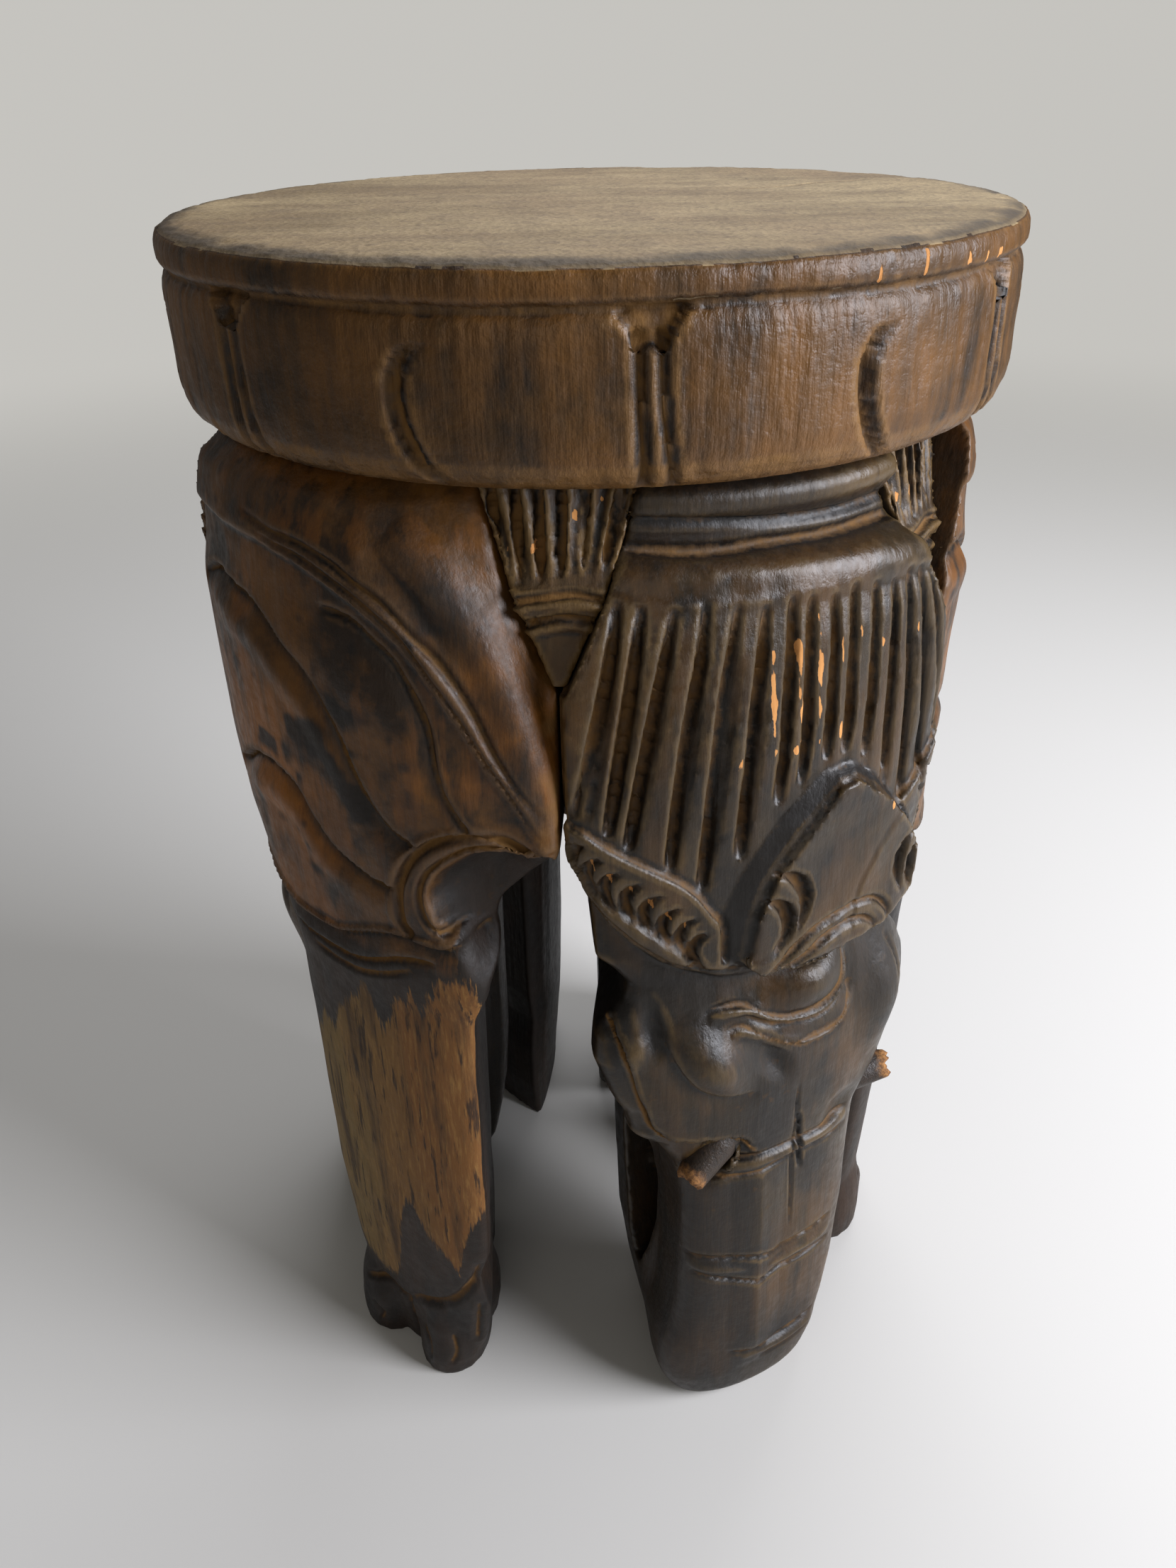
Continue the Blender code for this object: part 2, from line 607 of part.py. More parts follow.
def flute_cutter(top_angle, foot_angle, foot_share):
    """One V flute of the cap: a long three-sided sliver, pointed at its top, in the block's frame."""
    foot_height = foot_share * BLOCK_HEIGHT
    top_height = FLUTE_TOP_SHARE * BLOCK_HEIGHT
    rings = []
    for step, outer, share in FLUTE_SECTION_SHARES:
        angle = math.radians(foot_angle + (top_angle - foot_angle) * step)
        height = foot_height + (top_height - foot_height) * step
        half = FLUTE_WIDTH / 2 * share
        base = outer * BLOCK_RADIUS - FLUTE_DEPTH * share
        rim = outer * BLOCK_RADIUS + FLUTE_DEPTH / 2
        ring = []
        spread = half * FLUTE_RIM_WIDTH_SHARE
        for t, u in ((0.0, base), (spread, rim), (-spread, rim)):
            sideways = t * math.cos(angle) + u * math.sin(angle)
            outward = u * math.cos(angle) - t * math.sin(angle)
            ring.append(local(sideways, outward, height))
        rings.append(ring)
    return loft("flute", rings)


def shield_mesh():
    """The raised forehead shield: a six-sided plate that follows the cap's curve."""
    outline = [(t * BLOCK_HALF_WIDTH, z * BLOCK_HEIGHT) for t, z in SHIELD_OUTLINE_SHARES]
    face = BLOCK_RADIUS + SHIELD_RISE
    front = [local(t, math.sqrt(face * face - t * t), z) for t, z in outline]
    sink = (face - SHIELD_DEPTH) / face
    back = [local(t * sink, math.sqrt(face * face - t * t) * sink, z) for t, z in outline]
    return loft("shield", [back, front])


def loop_hole_cutter(home):
    """The hole between the trunk and its return, as a filled outline pushed right through."""
    curve = bpy.data.curves.new("loop hole outline", "CURVE")
    curve.dimensions = "2D"
    curve.fill_mode = "BOTH"
    curve.extrude = BLOCK_HALF_WIDTH + CUT_OVERRUN
    spline = curve.splines.new("POLY")
    spline.points.add(len(LOOP_HOLE_SHARES) - 1)
    for point, (outward, height) in zip(spline.points, LOOP_HOLE_SHARES):
        point.co = (outward * BLOCK_RADIUS, height * BLOCK_HEIGHT, 0.0, 1.0)
    spline.use_cyclic_u = True
    drawn = bpy.data.objects.new("loop hole outline", curve)
    home.objects.link(drawn)
    mesh = evaluated_mesh(drawn, "loop hole")
    bpy.data.objects.remove(drawn)
    shape = bmesh.new()
    shape.from_mesh(mesh)
    bmesh.ops.remove_doubles(shape, verts=shape.verts, dist=GLUE_GAP / 10)
    for vert in shape.verts:
        outward, height, sideways = vert.co
        vert.co = local(sideways, outward, height)
    bmesh.ops.recalc_face_normals(shape, faces=shape.faces)
    shape.to_mesh(mesh)
    shape.free()
    return mesh


def tusk_places(index):
    """Where each tusk leaves the head and which way it points, in the block's frame."""
    return (
        ("left", LEFT_TUSK_WIDTH_SHARE, LEFT_TUSK_OUTER_SHARE, LEFT_TUSK_HEIGHT_SHARE, LEFT_TUSK_LEAN),
        ("right", RIGHT_TUSK_WIDTH_SHARES[index], RIGHT_TUSK_OUTER_SHARE, RIGHT_TUSK_HEIGHT_SHARE, RIGHT_TUSK_LEAN),
    )


def tusk_matrix(index, width_share, outer_share, height_share, lean):
    """The frame of a tusk: the origin at its inner end, +Z along it."""
    top_share, foot_share = HEAD_TOP_SHARES[index], HEAD_FOOT_SHARES[index]
    pull = foot_share + (top_share - foot_share) * height_share
    mouth = local(width_share * BLOCK_HALF_WIDTH, outer_share * BLOCK_RADIUS * pull, height_share * BLOCK_HEIGHT)
    direction = local(*lean).normalized()
    return along(mouth - direction * TUSK_SOCKET_DEPTH, direction)


def tusk_socket_cutters(index):
    """The two tusk sockets of a head, in the block's frame."""
    found = []
    for _, width_share, outer_share, height_share, lean in tusk_places(index):
        mesh = cylinder_mesh(TUSK_ROOT_RADIUS + GLUE_GAP, TUSK_LENGTH + GLUE_GAP, TUSK_SIDES)
        mesh.transform(Matrix.Translation((0.0, 0.0, -GLUE_GAP)))
        found.append((mesh, tusk_matrix(index, width_share, outer_share, height_share, lean)))
    return found


def finish_block(name, mesh, azimuth, carving, cutters, shares, home, tools, finish):
    """Carve and squeeze a block in its own frame, cut its seatings, then turn it to its azimuth."""
    raw = place(name + " blank", mesh, tools)
    for i, (operation, group) in enumerate(carving):
        boolean(raw, join_meshes(f"{name} carving {i}", group, tools), operation, f"carving {i}")
    carved = clean(evaluated_mesh(raw, name + " carved"))
    squeeze(carved, *shares)
    seated = place(name + " seated", carved, tools)
    for i, group in enumerate(cutters):
        boolean(seated, join_meshes(f"{name} cut {i}", group, tools), "DIFFERENCE", f"cut {i}")
    block = place(name, clean(evaluated_mesh(seated, name)), home, finish)
    for helper in (raw, seated):
        for modifier in list(helper.modifiers):
            helper.modifiers.remove(modifier)
    block.matrix_world = block_matrix(azimuth)
    return block


def build_heads(home, tools):
    """The three elephant blocks with their tusk stubs."""
    still = Matrix.Identity(4)
    for i, azimuth in enumerate(HEAD_AZIMUTHS):
        name = f"elephant_block_{HEAD_NAMES[i]}"
        limits = joint_limits(azimuth)
        flutes = [
            f
            for f in zip(FLUTE_TOP_ANGLES, FLUTE_FOOT_ANGLES, FLUTE_FOOT_SHARES)
            if FLUTE_EDGE_ANGLE - limits[0] < f[1] < limits[1] - FLUTE_EDGE_ANGLE
        ]
        carving = [
            ("DIFFERENCE", [(loop_hole_cutter(tools), still)]),
            ("DIFFERENCE", [(flute_cutter(*f), still) for f in flutes]),
            ("UNION", [(shield_mesh(), still)]),
        ]
        cutters = seat_cutters(limits) + [tusk_socket_cutters(i), block_dowel_cutters()]
        shares = (HEAD_TOP_SHARES[i], HEAD_FOOT_SHARES[i])
        mesh = loft(name, head_rings(i, limits))
        block = finish_block(name, mesh, azimuth, carving, cutters, shares, home, tools, "cap stain")
        for side, width_share, outer_share, height_share, lean in tusk_places(i):
            stub = cylinder_mesh(TUSK_ROOT_RADIUS, TUSK_LENGTH, TUSK_SIDES, TUSK_TIP_RADIUS)
            tusk = place(f"tusk_stub_{HEAD_NAMES[i]}_{side}", stub, home, "raw wood")
            tusk.parent = block
            tusk.matrix_local = tusk_matrix(i, width_share, outer_share, height_share, lean)


def lobe_mesh(lobe, shift):
    """One lobe of the foot: an ellipsoid, cut flat at the floor by the block's own cutter."""
    side, outward, height, wide, deep, tall = (share * BLOCK_RADIUS for share in lobe)
    shape = bmesh.new()
    bmesh.ops.create_uvsphere(shape, u_segments=LOBE_SEGMENTS, v_segments=LOBE_RINGS, radius=1.0)
    mesh = bpy.data.meshes.new("foot lobe")
    shape.to_mesh(mesh)
    shape.free()
    size = Matrix.Diagonal((wide, deep, tall, 1.0))
    mesh.transform(Matrix.Translation(local(side + shift, outward, height)) @ size)
    return mesh


def floor_cutter():
    """A slab whose top is the floor."""
    size = 4 * BLOCK_RADIUS
    shape = bmesh.new()
    bmesh.ops.create_cube(shape, size=size, matrix=Matrix.Translation((0.0, 0.0, -size / 2)))
    mesh = bpy.data.meshes.new("floor")
    shape.to_mesh(mesh)
    shape.free()
    return mesh


def build_legs(home, tools):
    """The three leg blocks."""
    for i, azimuth in enumerate(LEG_AZIMUTHS):
        name = f"leg_block_{LEG_NAMES[i]}"
        limits = joint_limits(azimuth)
        still = Matrix.Identity(4)
        shift = LEG_TOE_SHIFT_SHARES[i] * BLOCK_HALF_WIDTH
        carving = [("UNION", [(lobe_mesh(lobe, shift), still)]) for lobe in TOE_LOBE_SHARES]
        carving.append(("DIFFERENCE", [(floor_cutter(), still)]))
        cutters = seat_cutters(limits) + [block_dowel_cutters()]
        shares = (LEG_TOP_SHARES[i], LEG_FOOT_SHARES[i])
        mesh = loft(name, leg_rings(i, limits))
        finish_block(name, mesh, azimuth, carving, cutters, shares, home, tools, "haunch stain")


def seat_profile():
    """The seat's half outline from the middle of the top, down its side, to the underside."""
    top = STOOL_HEIGHT
    groove_top = top - LIP_HEIGHT
    groove_foot = groove_top - LIP_GROOVE_HEIGHT
    foot = SEAT_FOOT_HEIGHT
    return (
        (0.0, top),
        (TOP_FLAT_RADIUS, top),
        ((TOP_FLAT_RADIUS + 2 * SEAT_RADIUS) / 3, top - TOP_ROUND_HEIGHT / 3),
        (SEAT_RADIUS, top - TOP_ROUND_HEIGHT),
        (SEAT_RADIUS, groove_top),
        (SEAT_RADIUS - LIP_GROOVE_DEPTH, (groove_top + groove_foot) / 2),
        (APRON_RADIUS, groove_foot - APRON_SHOULDER_HEIGHT),
        (APRON_RADIUS, foot + APRON_TURN_HEIGHT),
        (APRON_TURN_RADIUS, foot + APRON_TURN_HEIGHT / 3),
        (APRON_FOOT_RADIUS, foot),
        (0.0, foot),
    )


def turned(name, profile, steps, home):
    """Turn a profile about the stool's axis with a Screw modifier."""
    mesh = bpy.data.meshes.new(name)
    edges = [(i, i + 1) for i in range(len(profile) - 1)]
    mesh.from_pydata([(r, 0.0, z) for r, z in profile], edges, [])
    obj = bpy.data.objects.new(name, mesh)
    home.objects.link(obj)
    screw = obj.modifiers.new("turn", "SCREW")
    screw.axis = "Z"
    screw.steps = steps
    screw.render_steps = steps
    screw.use_merge_vertices = True
    screw.merge_threshold = GLUE_GAP / 10
    return obj


def petal_cutter():
    """The sunk bar between two petals, with the notch at its top, at azimuth 0."""
    top = STOOL_HEIGHT - PETAL_NOTCH_DROP
    foot = SEAT_FOOT_HEIGHT - CUT_OVERRUN
    bar = PETAL_BAR_WIDTH / 2
    notch = PETAL_NOTCH_WIDTH / 2
    outline = ((bar, foot), (bar, top - PETAL_NOTCH_HEIGHT), (notch, top))
    outline += tuple((-t, z) for t, z in reversed(outline))
    inner = APRON_RADIUS - PETAL_BAR_DEPTH
    outer = SEAT_RADIUS + CUT_OVERRUN
    return loft("petal bar", [[local(t, u, z) for t, z in outline] for u in (inner, outer)])


def build_seat(home, tools):
    """The seat: a turned disc with petal bars, a spigot socket and six dowel holes."""
    blank = turned("seat blank", seat_profile(), SEAT_STEPS, tools)
    blank.hide_render = True
    blank.display_type = "WIRE"
    pitch = 360 / PETAL_COUNT
    bars = [(petal_cutter(), block_matrix(PETAL_FIRST_AZIMUTH + n * pitch)) for n in range(PETAL_COUNT)]
    boolean(blank, join_meshes("petal bars", bars, tools), "DIFFERENCE", "petal bars")
    socket = cylinder_mesh(SPIGOT_RADIUS + GLUE_GAP, SPIGOT_LENGTH + GLUE_GAP + CUT_OVERRUN, CORE_SIDES)
    holes = [(socket, Matrix.Translation((0.0, 0.0, SEAT_FOOT_HEIGHT - CUT_OVERRUN)))]
    for azimuth in HEAD_AZIMUTHS + LEG_AZIMUTHS:
        mouth = along(local(0.0, SEAT_DOWEL_CIRCLE, SEAT_FOOT_HEIGHT), (0.0, 0.0, 1.0))
        holes.append((dowel_hole(), block_matrix(azimuth) @ mouth))
    boolean(blank, join_meshes("seat holes", holes, tools), "DIFFERENCE", "holes")
    place("seat", clean(evaluated_mesh(blank, "seat")), home, "seat stain")
    bpy.data.objects.remove(blank)


def fan_mesh():
    """One fan: a tapering plate rooted in the core, fluted at the top and banded below, at azimuth 0."""
    top = SEAT_FOOT_HEIGHT - GLUE_GAP
    toe = SEAT_FOOT_HEIGHT - FAN_HEIGHT
    band_foot = toe + FAN_TOE_HEIGHT
    band_top = band_foot + FAN_BAND_HEIGHT
    root = CORE_RADIUS - FAN_ROOT_DEPTH
    across = np.linspace(-1.0, 1.0, 4 * FAN_FLUTES + 1)
    rings = []
    for height, flute, rise in (
        (toe, 0.0, 0.0),
        (band_foot - FAN_BAND_RISE, 0.0, 0.0),
        (band_foot, 0.0, 1.0),
        (band_top, 0.0, 1.0),
        (band_top + FAN_BAND_RISE, 0.0, 0.0),
        (band_top + FAN_BAND_HEIGHT, 0.4, 0.0),
        (top, 1.0, 0.0),
    ):
        half = fan_half_width(height)
        share = (height - toe) / (top - toe)
        face = FAN_TIP_RADIUS + share * (FAN_TOP_RADIUS - FAN_TIP_RADIUS) + rise * FAN_BAND_RISE
        ring = []
        for place_share in across:
            wave = (1 - math.cos(2 * math.pi * FAN_FLUTES * (place_share + 1) / 2)) / 2
            radius = face - flute * FAN_FLUTE_DEPTH * wave
            sideways = place_share * half
            ring.append(local(sideways, math.sqrt(radius * radius - sideways * sideways), height))
        for place_share in (1.0, -1.0):
            ring.append(local(place_share * half, root, height))
        rings.append(ring)
    return loft("fan", rings)


def build_core(home, tools):
    """The core: a turned drum with a spigot, its fans and the level dowel holes."""
    top = SEAT_FOOT_HEIGHT - GLUE_GAP
    profile = (
        (0.0, top + SPIGOT_LENGTH),
        (SPIGOT_RADIUS, top + SPIGOT_LENGTH),
        (SPIGOT_RADIUS, top),
        (CORE_RADIUS, top),
        (CORE_RADIUS, CORE_FOOT_HEIGHT),
        (0.0, CORE_FOOT_HEIGHT),
    )
    blank = turned("core blank", profile, CORE_SIDES, tools)
    blank.hide_render = True
    blank.display_type = "WIRE"
    for i, azimuth in enumerate(JOINT_AZIMUTHS):
        mesh = fan_mesh()
        mesh.transform(block_matrix(azimuth))
        boolean(blank, place(f"fan {i}", mesh, tools), "UNION", f"fan {i}")
    holes = []
    for azimuth in HEAD_AZIMUTHS + LEG_AZIMUTHS:
        mouth = along(local(0.0, CORE_RADIUS, CORE_DOWEL_HEIGHT), local(0.0, -1.0, 0.0))
        holes.append((dowel_hole(), block_matrix(azimuth) @ mouth))
    boolean(blank, join_meshes("core holes", holes, tools), "DIFFERENCE", "holes")
    place("fan_core", clean(evaluated_mesh(blank, "fan_core")), home, "fan stain")
    bpy.data.objects.remove(blank)


def build_dowels(home):
    """The upright and level dowels, each centred on its joint."""
    blocks = [(f"elephant_{n}", a) for n, a in zip(HEAD_NAMES, HEAD_AZIMUTHS)]
    blocks += [(f"leg_{n}", a) for n, a in zip(LEG_NAMES, LEG_AZIMUTHS)]
    half = DOWEL_LENGTH / 2
    for label, azimuth in blocks:
        turn = block_matrix(azimuth)
        upright = place(
            f"seat_dowel_{label}", cylinder_mesh(DOWEL_RADIUS, DOWEL_LENGTH, DOWEL_SIDES), home, "dowel wood"
        )
        upright.matrix_world = turn @ Matrix.Translation(local(0.0, SEAT_DOWEL_CIRCLE, SEAT_FOOT_HEIGHT - half))
        level = place(
            f"core_dowel_{label}", cylinder_mesh(DOWEL_RADIUS, DOWEL_LENGTH, DOWEL_SIDES), home, "dowel wood"
        )
        start = local(0.0, CORE_RADIUS - half, CORE_DOWEL_HEIGHT)
        level.matrix_world = turn @ along(start, local(0.0, 1.0, 0.0))


def main():
    """Build the stool."""
    clear_scene()
    home = collection("Carved elephant stool")
    tools = collection("Cutters", shown=False)
    build_seat(home, tools)
    build_core(home, tools)
    build_heads(home, tools)
    build_legs(home, tools)
    build_dowels(home)


main()
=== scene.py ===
"""Carved elephant stool: the carving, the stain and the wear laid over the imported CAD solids.

Metres, +Z up, the origin on the floor at the middle of the stool. Azimuth 0 looks out along -Y and
grows towards +X. A place on a carved face is given as (azimuth in degrees, height in millimetres).
"""

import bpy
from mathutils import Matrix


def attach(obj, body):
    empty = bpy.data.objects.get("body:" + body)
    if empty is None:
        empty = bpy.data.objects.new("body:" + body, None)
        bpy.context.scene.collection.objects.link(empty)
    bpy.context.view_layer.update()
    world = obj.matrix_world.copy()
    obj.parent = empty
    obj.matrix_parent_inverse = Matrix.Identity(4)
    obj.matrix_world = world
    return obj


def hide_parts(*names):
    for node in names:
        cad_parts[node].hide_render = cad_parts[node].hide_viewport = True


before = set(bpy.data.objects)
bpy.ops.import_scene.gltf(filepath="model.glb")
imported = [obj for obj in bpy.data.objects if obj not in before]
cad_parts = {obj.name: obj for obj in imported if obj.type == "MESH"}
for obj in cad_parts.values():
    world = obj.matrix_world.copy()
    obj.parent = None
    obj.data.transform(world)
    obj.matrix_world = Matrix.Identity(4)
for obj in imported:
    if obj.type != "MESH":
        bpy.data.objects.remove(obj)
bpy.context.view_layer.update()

import logging
import math
from dataclasses import dataclass, replace
from enum import Enum
from functools import partial
from typing import Callable, Iterable, Optional, Sequence

import bmesh
import bpy
import numpy as np
from mathutils import Matrix, Vector

LOG = logging.getLogger("stool")
ROOT = "root"
MM = 0.001
# The unrolled skin on which the carving is drawn: its radius, and its millimetres for each degree.
SKIN_RADIUS = 141.0
ARC = math.radians(1.0) * SKIN_RADIUS
# The seat's underside, and the blocks' tops under it, in millimetres.
SEAT_FOOT = 391.5
BLOCK_TOP = SEAT_FOOT - 0.3
# The most quads in a piece, which keeps it under 200,000 triangles.
MOST_QUADS = 97000
# How far a surface has to face away from the stool's axis to be carved, as a cosine.
OUTWARD = 0.15
# How much sooner a spare point goes than any other, where a piece is thinned out.
SPARE_FACTOR = 1000.0
# A surface that faces away from the axis by less than this cosine is hidden between the blocks.
HIDDEN = 0.05
# Keeps a division away from zero.
TINY = 1e-9
# Two shares of the way to the neighbours' mean: this pair smooths a grid without shrinking it.
CALM_PAIR = (0.5, -0.53)
# The widest half-widths, in millimetres, of a gouge with sharp edges and of a line with a sharp bottom.
GOUGE_WIDTH = 4.5
THIN_WIDTH = 3.5
Points = np.ndarray
Path = Sequence[tuple[float, float]]


class Mark(Enum):
    """What a carved or worn place carries on its surface. Each is a point attribute, 0 to 1."""

    DUST = "dust"
    CHIP = "chip"
    WORN = "worn"
    # Black soot and dark stain, and also painted shade: in recesses, on walls hidden between blocks, under
    # the seat and hem, and on sides turned from the lamp.
    SOOT = "soot"
    CREST = "crest"
    HOLLOW = "hollow"


class Edge(Enum):
    """The section of a carved line."""

    VEE = "vee"
    ROUND = "round"
    STEP = "step"


def linear(code: str) -> tuple[float, float, float, float]:
    """Turn an sRGB hex value into a linear colour.

    Args:
        code: six hex digits.
    Returns:
        Red, green, blue and alpha, linear.
    """
    parts = [int(code[i : i + 2], 16) / 255 for i in (0, 2, 4)]
    flat = [p / 12.92 if p <= 0.04045 else ((p + 0.055) / 1.055) ** 2.4 for p in parts]
    return (flat[0], flat[1], flat[2], 1.0)


def smooth_path(path: Path, steps: int = 8) -> Points:
    """Run a Catmull-Rom curve through a path: each span is the cubic whose end slopes are half the
    chord between the neighbours.

    Args:
        path: places as (azimuth, height).
        steps: points for each span.
    Returns:
        The curve's places as (arc millimetres, height).
    """
    knots = np.asarray(path, float)
    if len(knots) < 3:
        return np.column_stack([knots[:, 0] * ARC, knots[:, 1]])
    padded = np.vstack([2 * knots[0] - knots[1], knots, 2 * knots[-1] - knots[-2]])
    t = np.linspace(0, 1, steps, endpoint=False)[:, None]
    spans = []
    for a, b, c, d in zip(padded, padded[1:], padded[2:], padded[3:]):
        bend, twist = 2 * a - 5 * b + 4 * c - d, 3 * b - a - 3 * c + d
        spans.append(0.5 * (2 * b + (c - a) * t + bend * t**2 + twist * t**3))
    curve = np.vstack(spans + [knots[-1:]])
    return np.column_stack([curve[:, 0] * ARC, curve[:, 1]])


def distance_to(curve: Points, places: Points) -> tuple[Points, Points, Points, Points]:
    """Distance from each place to the nearest point of a curve.

    For each short chord the foot of the perpendicular is held between its ends, and the nearest of
    all the feet is kept, with its length along the curve and the side it lies on.

    Args:
        curve: the curve's points, in millimetres.
        places: the places, in millimetres.
    Returns:
        Distance, share of the length, side (+1 on the left of travel), and the offset from the foot.
    """
    best = np.full(len(places), 1e9)
    share = np.zeros(len(places))
    side = np.ones(len(places))
    away = np.zeros((len(places), 2))
    chords = np.diff(curve, axis=0)
    lengths = np.hypot(chords[:, 0], chords[:, 1])
    starts = np.concatenate([[0.0], np.cumsum(lengths)])
    for start, chord, length, run in zip(curve, chords, lengths, starts):
        offset = places - start
        along = np.clip(offset @ chord / max(length**2, TINY), 0, 1)
        gap = offset - along[:, None] * chord
        d = np.hypot(gap[:, 0], gap[:, 1])
        near = d < best
        best[near] = d[near]
        share[near] = (run + along[near] * length) / starts[-1]
        turn = chord[0] * offset[:, 1] - chord[1] * offset[:, 0]
        side[near] = np.where(turn[near] >= 0, 1.0, -1.0)
        away[near] = gap[near]
    return best, share, side, away


def beside(curve: Points, gap: Points) -> Points:
    """Move a curve to its left, square to its direction at each point.

    Args:
        curve: its points, in millimetres.
        gap: how far each point moves, in millimetres.
    Returns:
        The moved points.
    """
    along = np.gradient(curve, axis=0)
    along /= np.maximum(np.linalg.norm(along, axis=1), TINY)[:, None]
    return curve + gap[:, None] * np.column_stack([-along[:, 1], along[:, 0]])


def hashed(cells: Points, seed: int) -> Points:
    """A repeatable value from 0 to 1 for each whole-number cell: the fraction of a large sine."""
    dots = cells[..., 0] * 127.1 + cells[..., 1] * 311.7 + cells[..., 2] * 74.7 + seed * 53.3
    return np.modf(np.abs(np.sin(dots) * 43758.5453))[0]


def noise(places: Points, size: float, seed: int = 0) -> Points:
    """Smooth value noise: the cell corners' values blended with the cubic fade 3t^2 - 2t^3.

    Args:
        places: (n, 3) places in millimetres.
        size: the cell's side in millimetres.
        seed: which pattern.
    Returns:
        Values from -1 to 1.
    """
    scaled = places / size
    cell = np.floor(scaled)
    t = scaled - cell
    t = t * t * (3 - 2 * t)
    total = np.zeros(len(places))
    for dx in (0, 1):
        for dy in (0, 1):
            for dz in (0, 1):
                weight = np.abs(1 - dx - t[:, 0]) * np.abs(1 - dy - t[:, 1]) * np.abs(1 - dz - t[:, 2])
                total += weight * hashed(cell + (dx, dy, dz), seed)
    return total * 2 - 1


def soft_step(value: Points, low: float, high: float) -> Points:
    """Rise smoothly from 0 at low to 1 at high."""
    t = np.clip((value - low) / (high - low), 0, 1)
    return t * t * (3 - 2 * t)


@dataclass(frozen=True)
class Line:
    """A line cut with a gouge or a V tool.

    depth is in millimetres, negative for a raised rib, and width is half the cut's width. taper is
    the share of the length over which each end runs out. dust is how much ochre lies in it, and
    shade how dark it is along it: dark stain gathered in the cut, with painted shade. A step is deep
    on the left of its travel. A narrow round cut is a gouge's: its section is an arc of a circle and
    its edges run together at its ends.
    """

    path: Path
    depth: float = 1.6
    width: float = 1.8
    edge: Edge = Edge.VEE
    dust: float = 0.7
    taper: float = 0.14
    spread: float = 7.0
    shade: float = 0.45

    @property
    def gouged(self) -> bool:
        """Whether it is a narrow round cut, with sharp edges."""
        return self.edge is Edge.ROUND and self.depth > 0 and self.width < GOUGE_WIDTH

    def fade(self, share: Points) -> Points:
        """Say how far the cut has run in.

        Args:
            share: places along its length, from 0 to 1.
        Returns:
            0 at its ends and 1 between them.
        """
        if not self.taper:
            return np.ones(len(share))
        return np.clip(np.minimum(share, 1 - share) / self.taper, 0, 1) ** 0.6

    def rows(self, curve: Points) -> list[Points]:
        """Find the curves that rows of points are moved onto.

        Args:
            curve: the line's own curve, in millimetres.
        Returns:
            A gouge's two edges, a thin line's bottom, or nothing for a broad swell.
        """
        if not self.gouged:
            return [curve] if self.width < THIN_WIDTH else []
        run = np.concatenate([[0.0], np.cumsum(np.hypot(*np.diff(curve, axis=0).T))])
        wide = self.width * self.fade(run / run[-1])
        return [beside(curve, wide), beside(curve, -wide)]

    def shifted(self, turn: float, mirror: bool = False) -> "Line":
        """Turn the line about the stool's axis.

        Args:
            turn: degrees of azimuth.
            mirror: whether it is first mirrored about azimuth 0.
        Returns:
            The new line.
        """
        flip = -1.0 if mirror else 1.0
        path = tuple((flip * a + turn, z) for a, z in self.path)
        return replace(self, path=path[::-1] if mirror else path)


def step_line(
    path: Path, depth: float, spread: float, dust: float, width: float = 1.3, taper: float = 0.05
) -> Line:
    """A leaf's edge: right of the path's travel it drops sharply and rises again slowly."""
    return Line(tuple(path)[::-1], depth, width, Edge.STEP, dust, taper, spread)


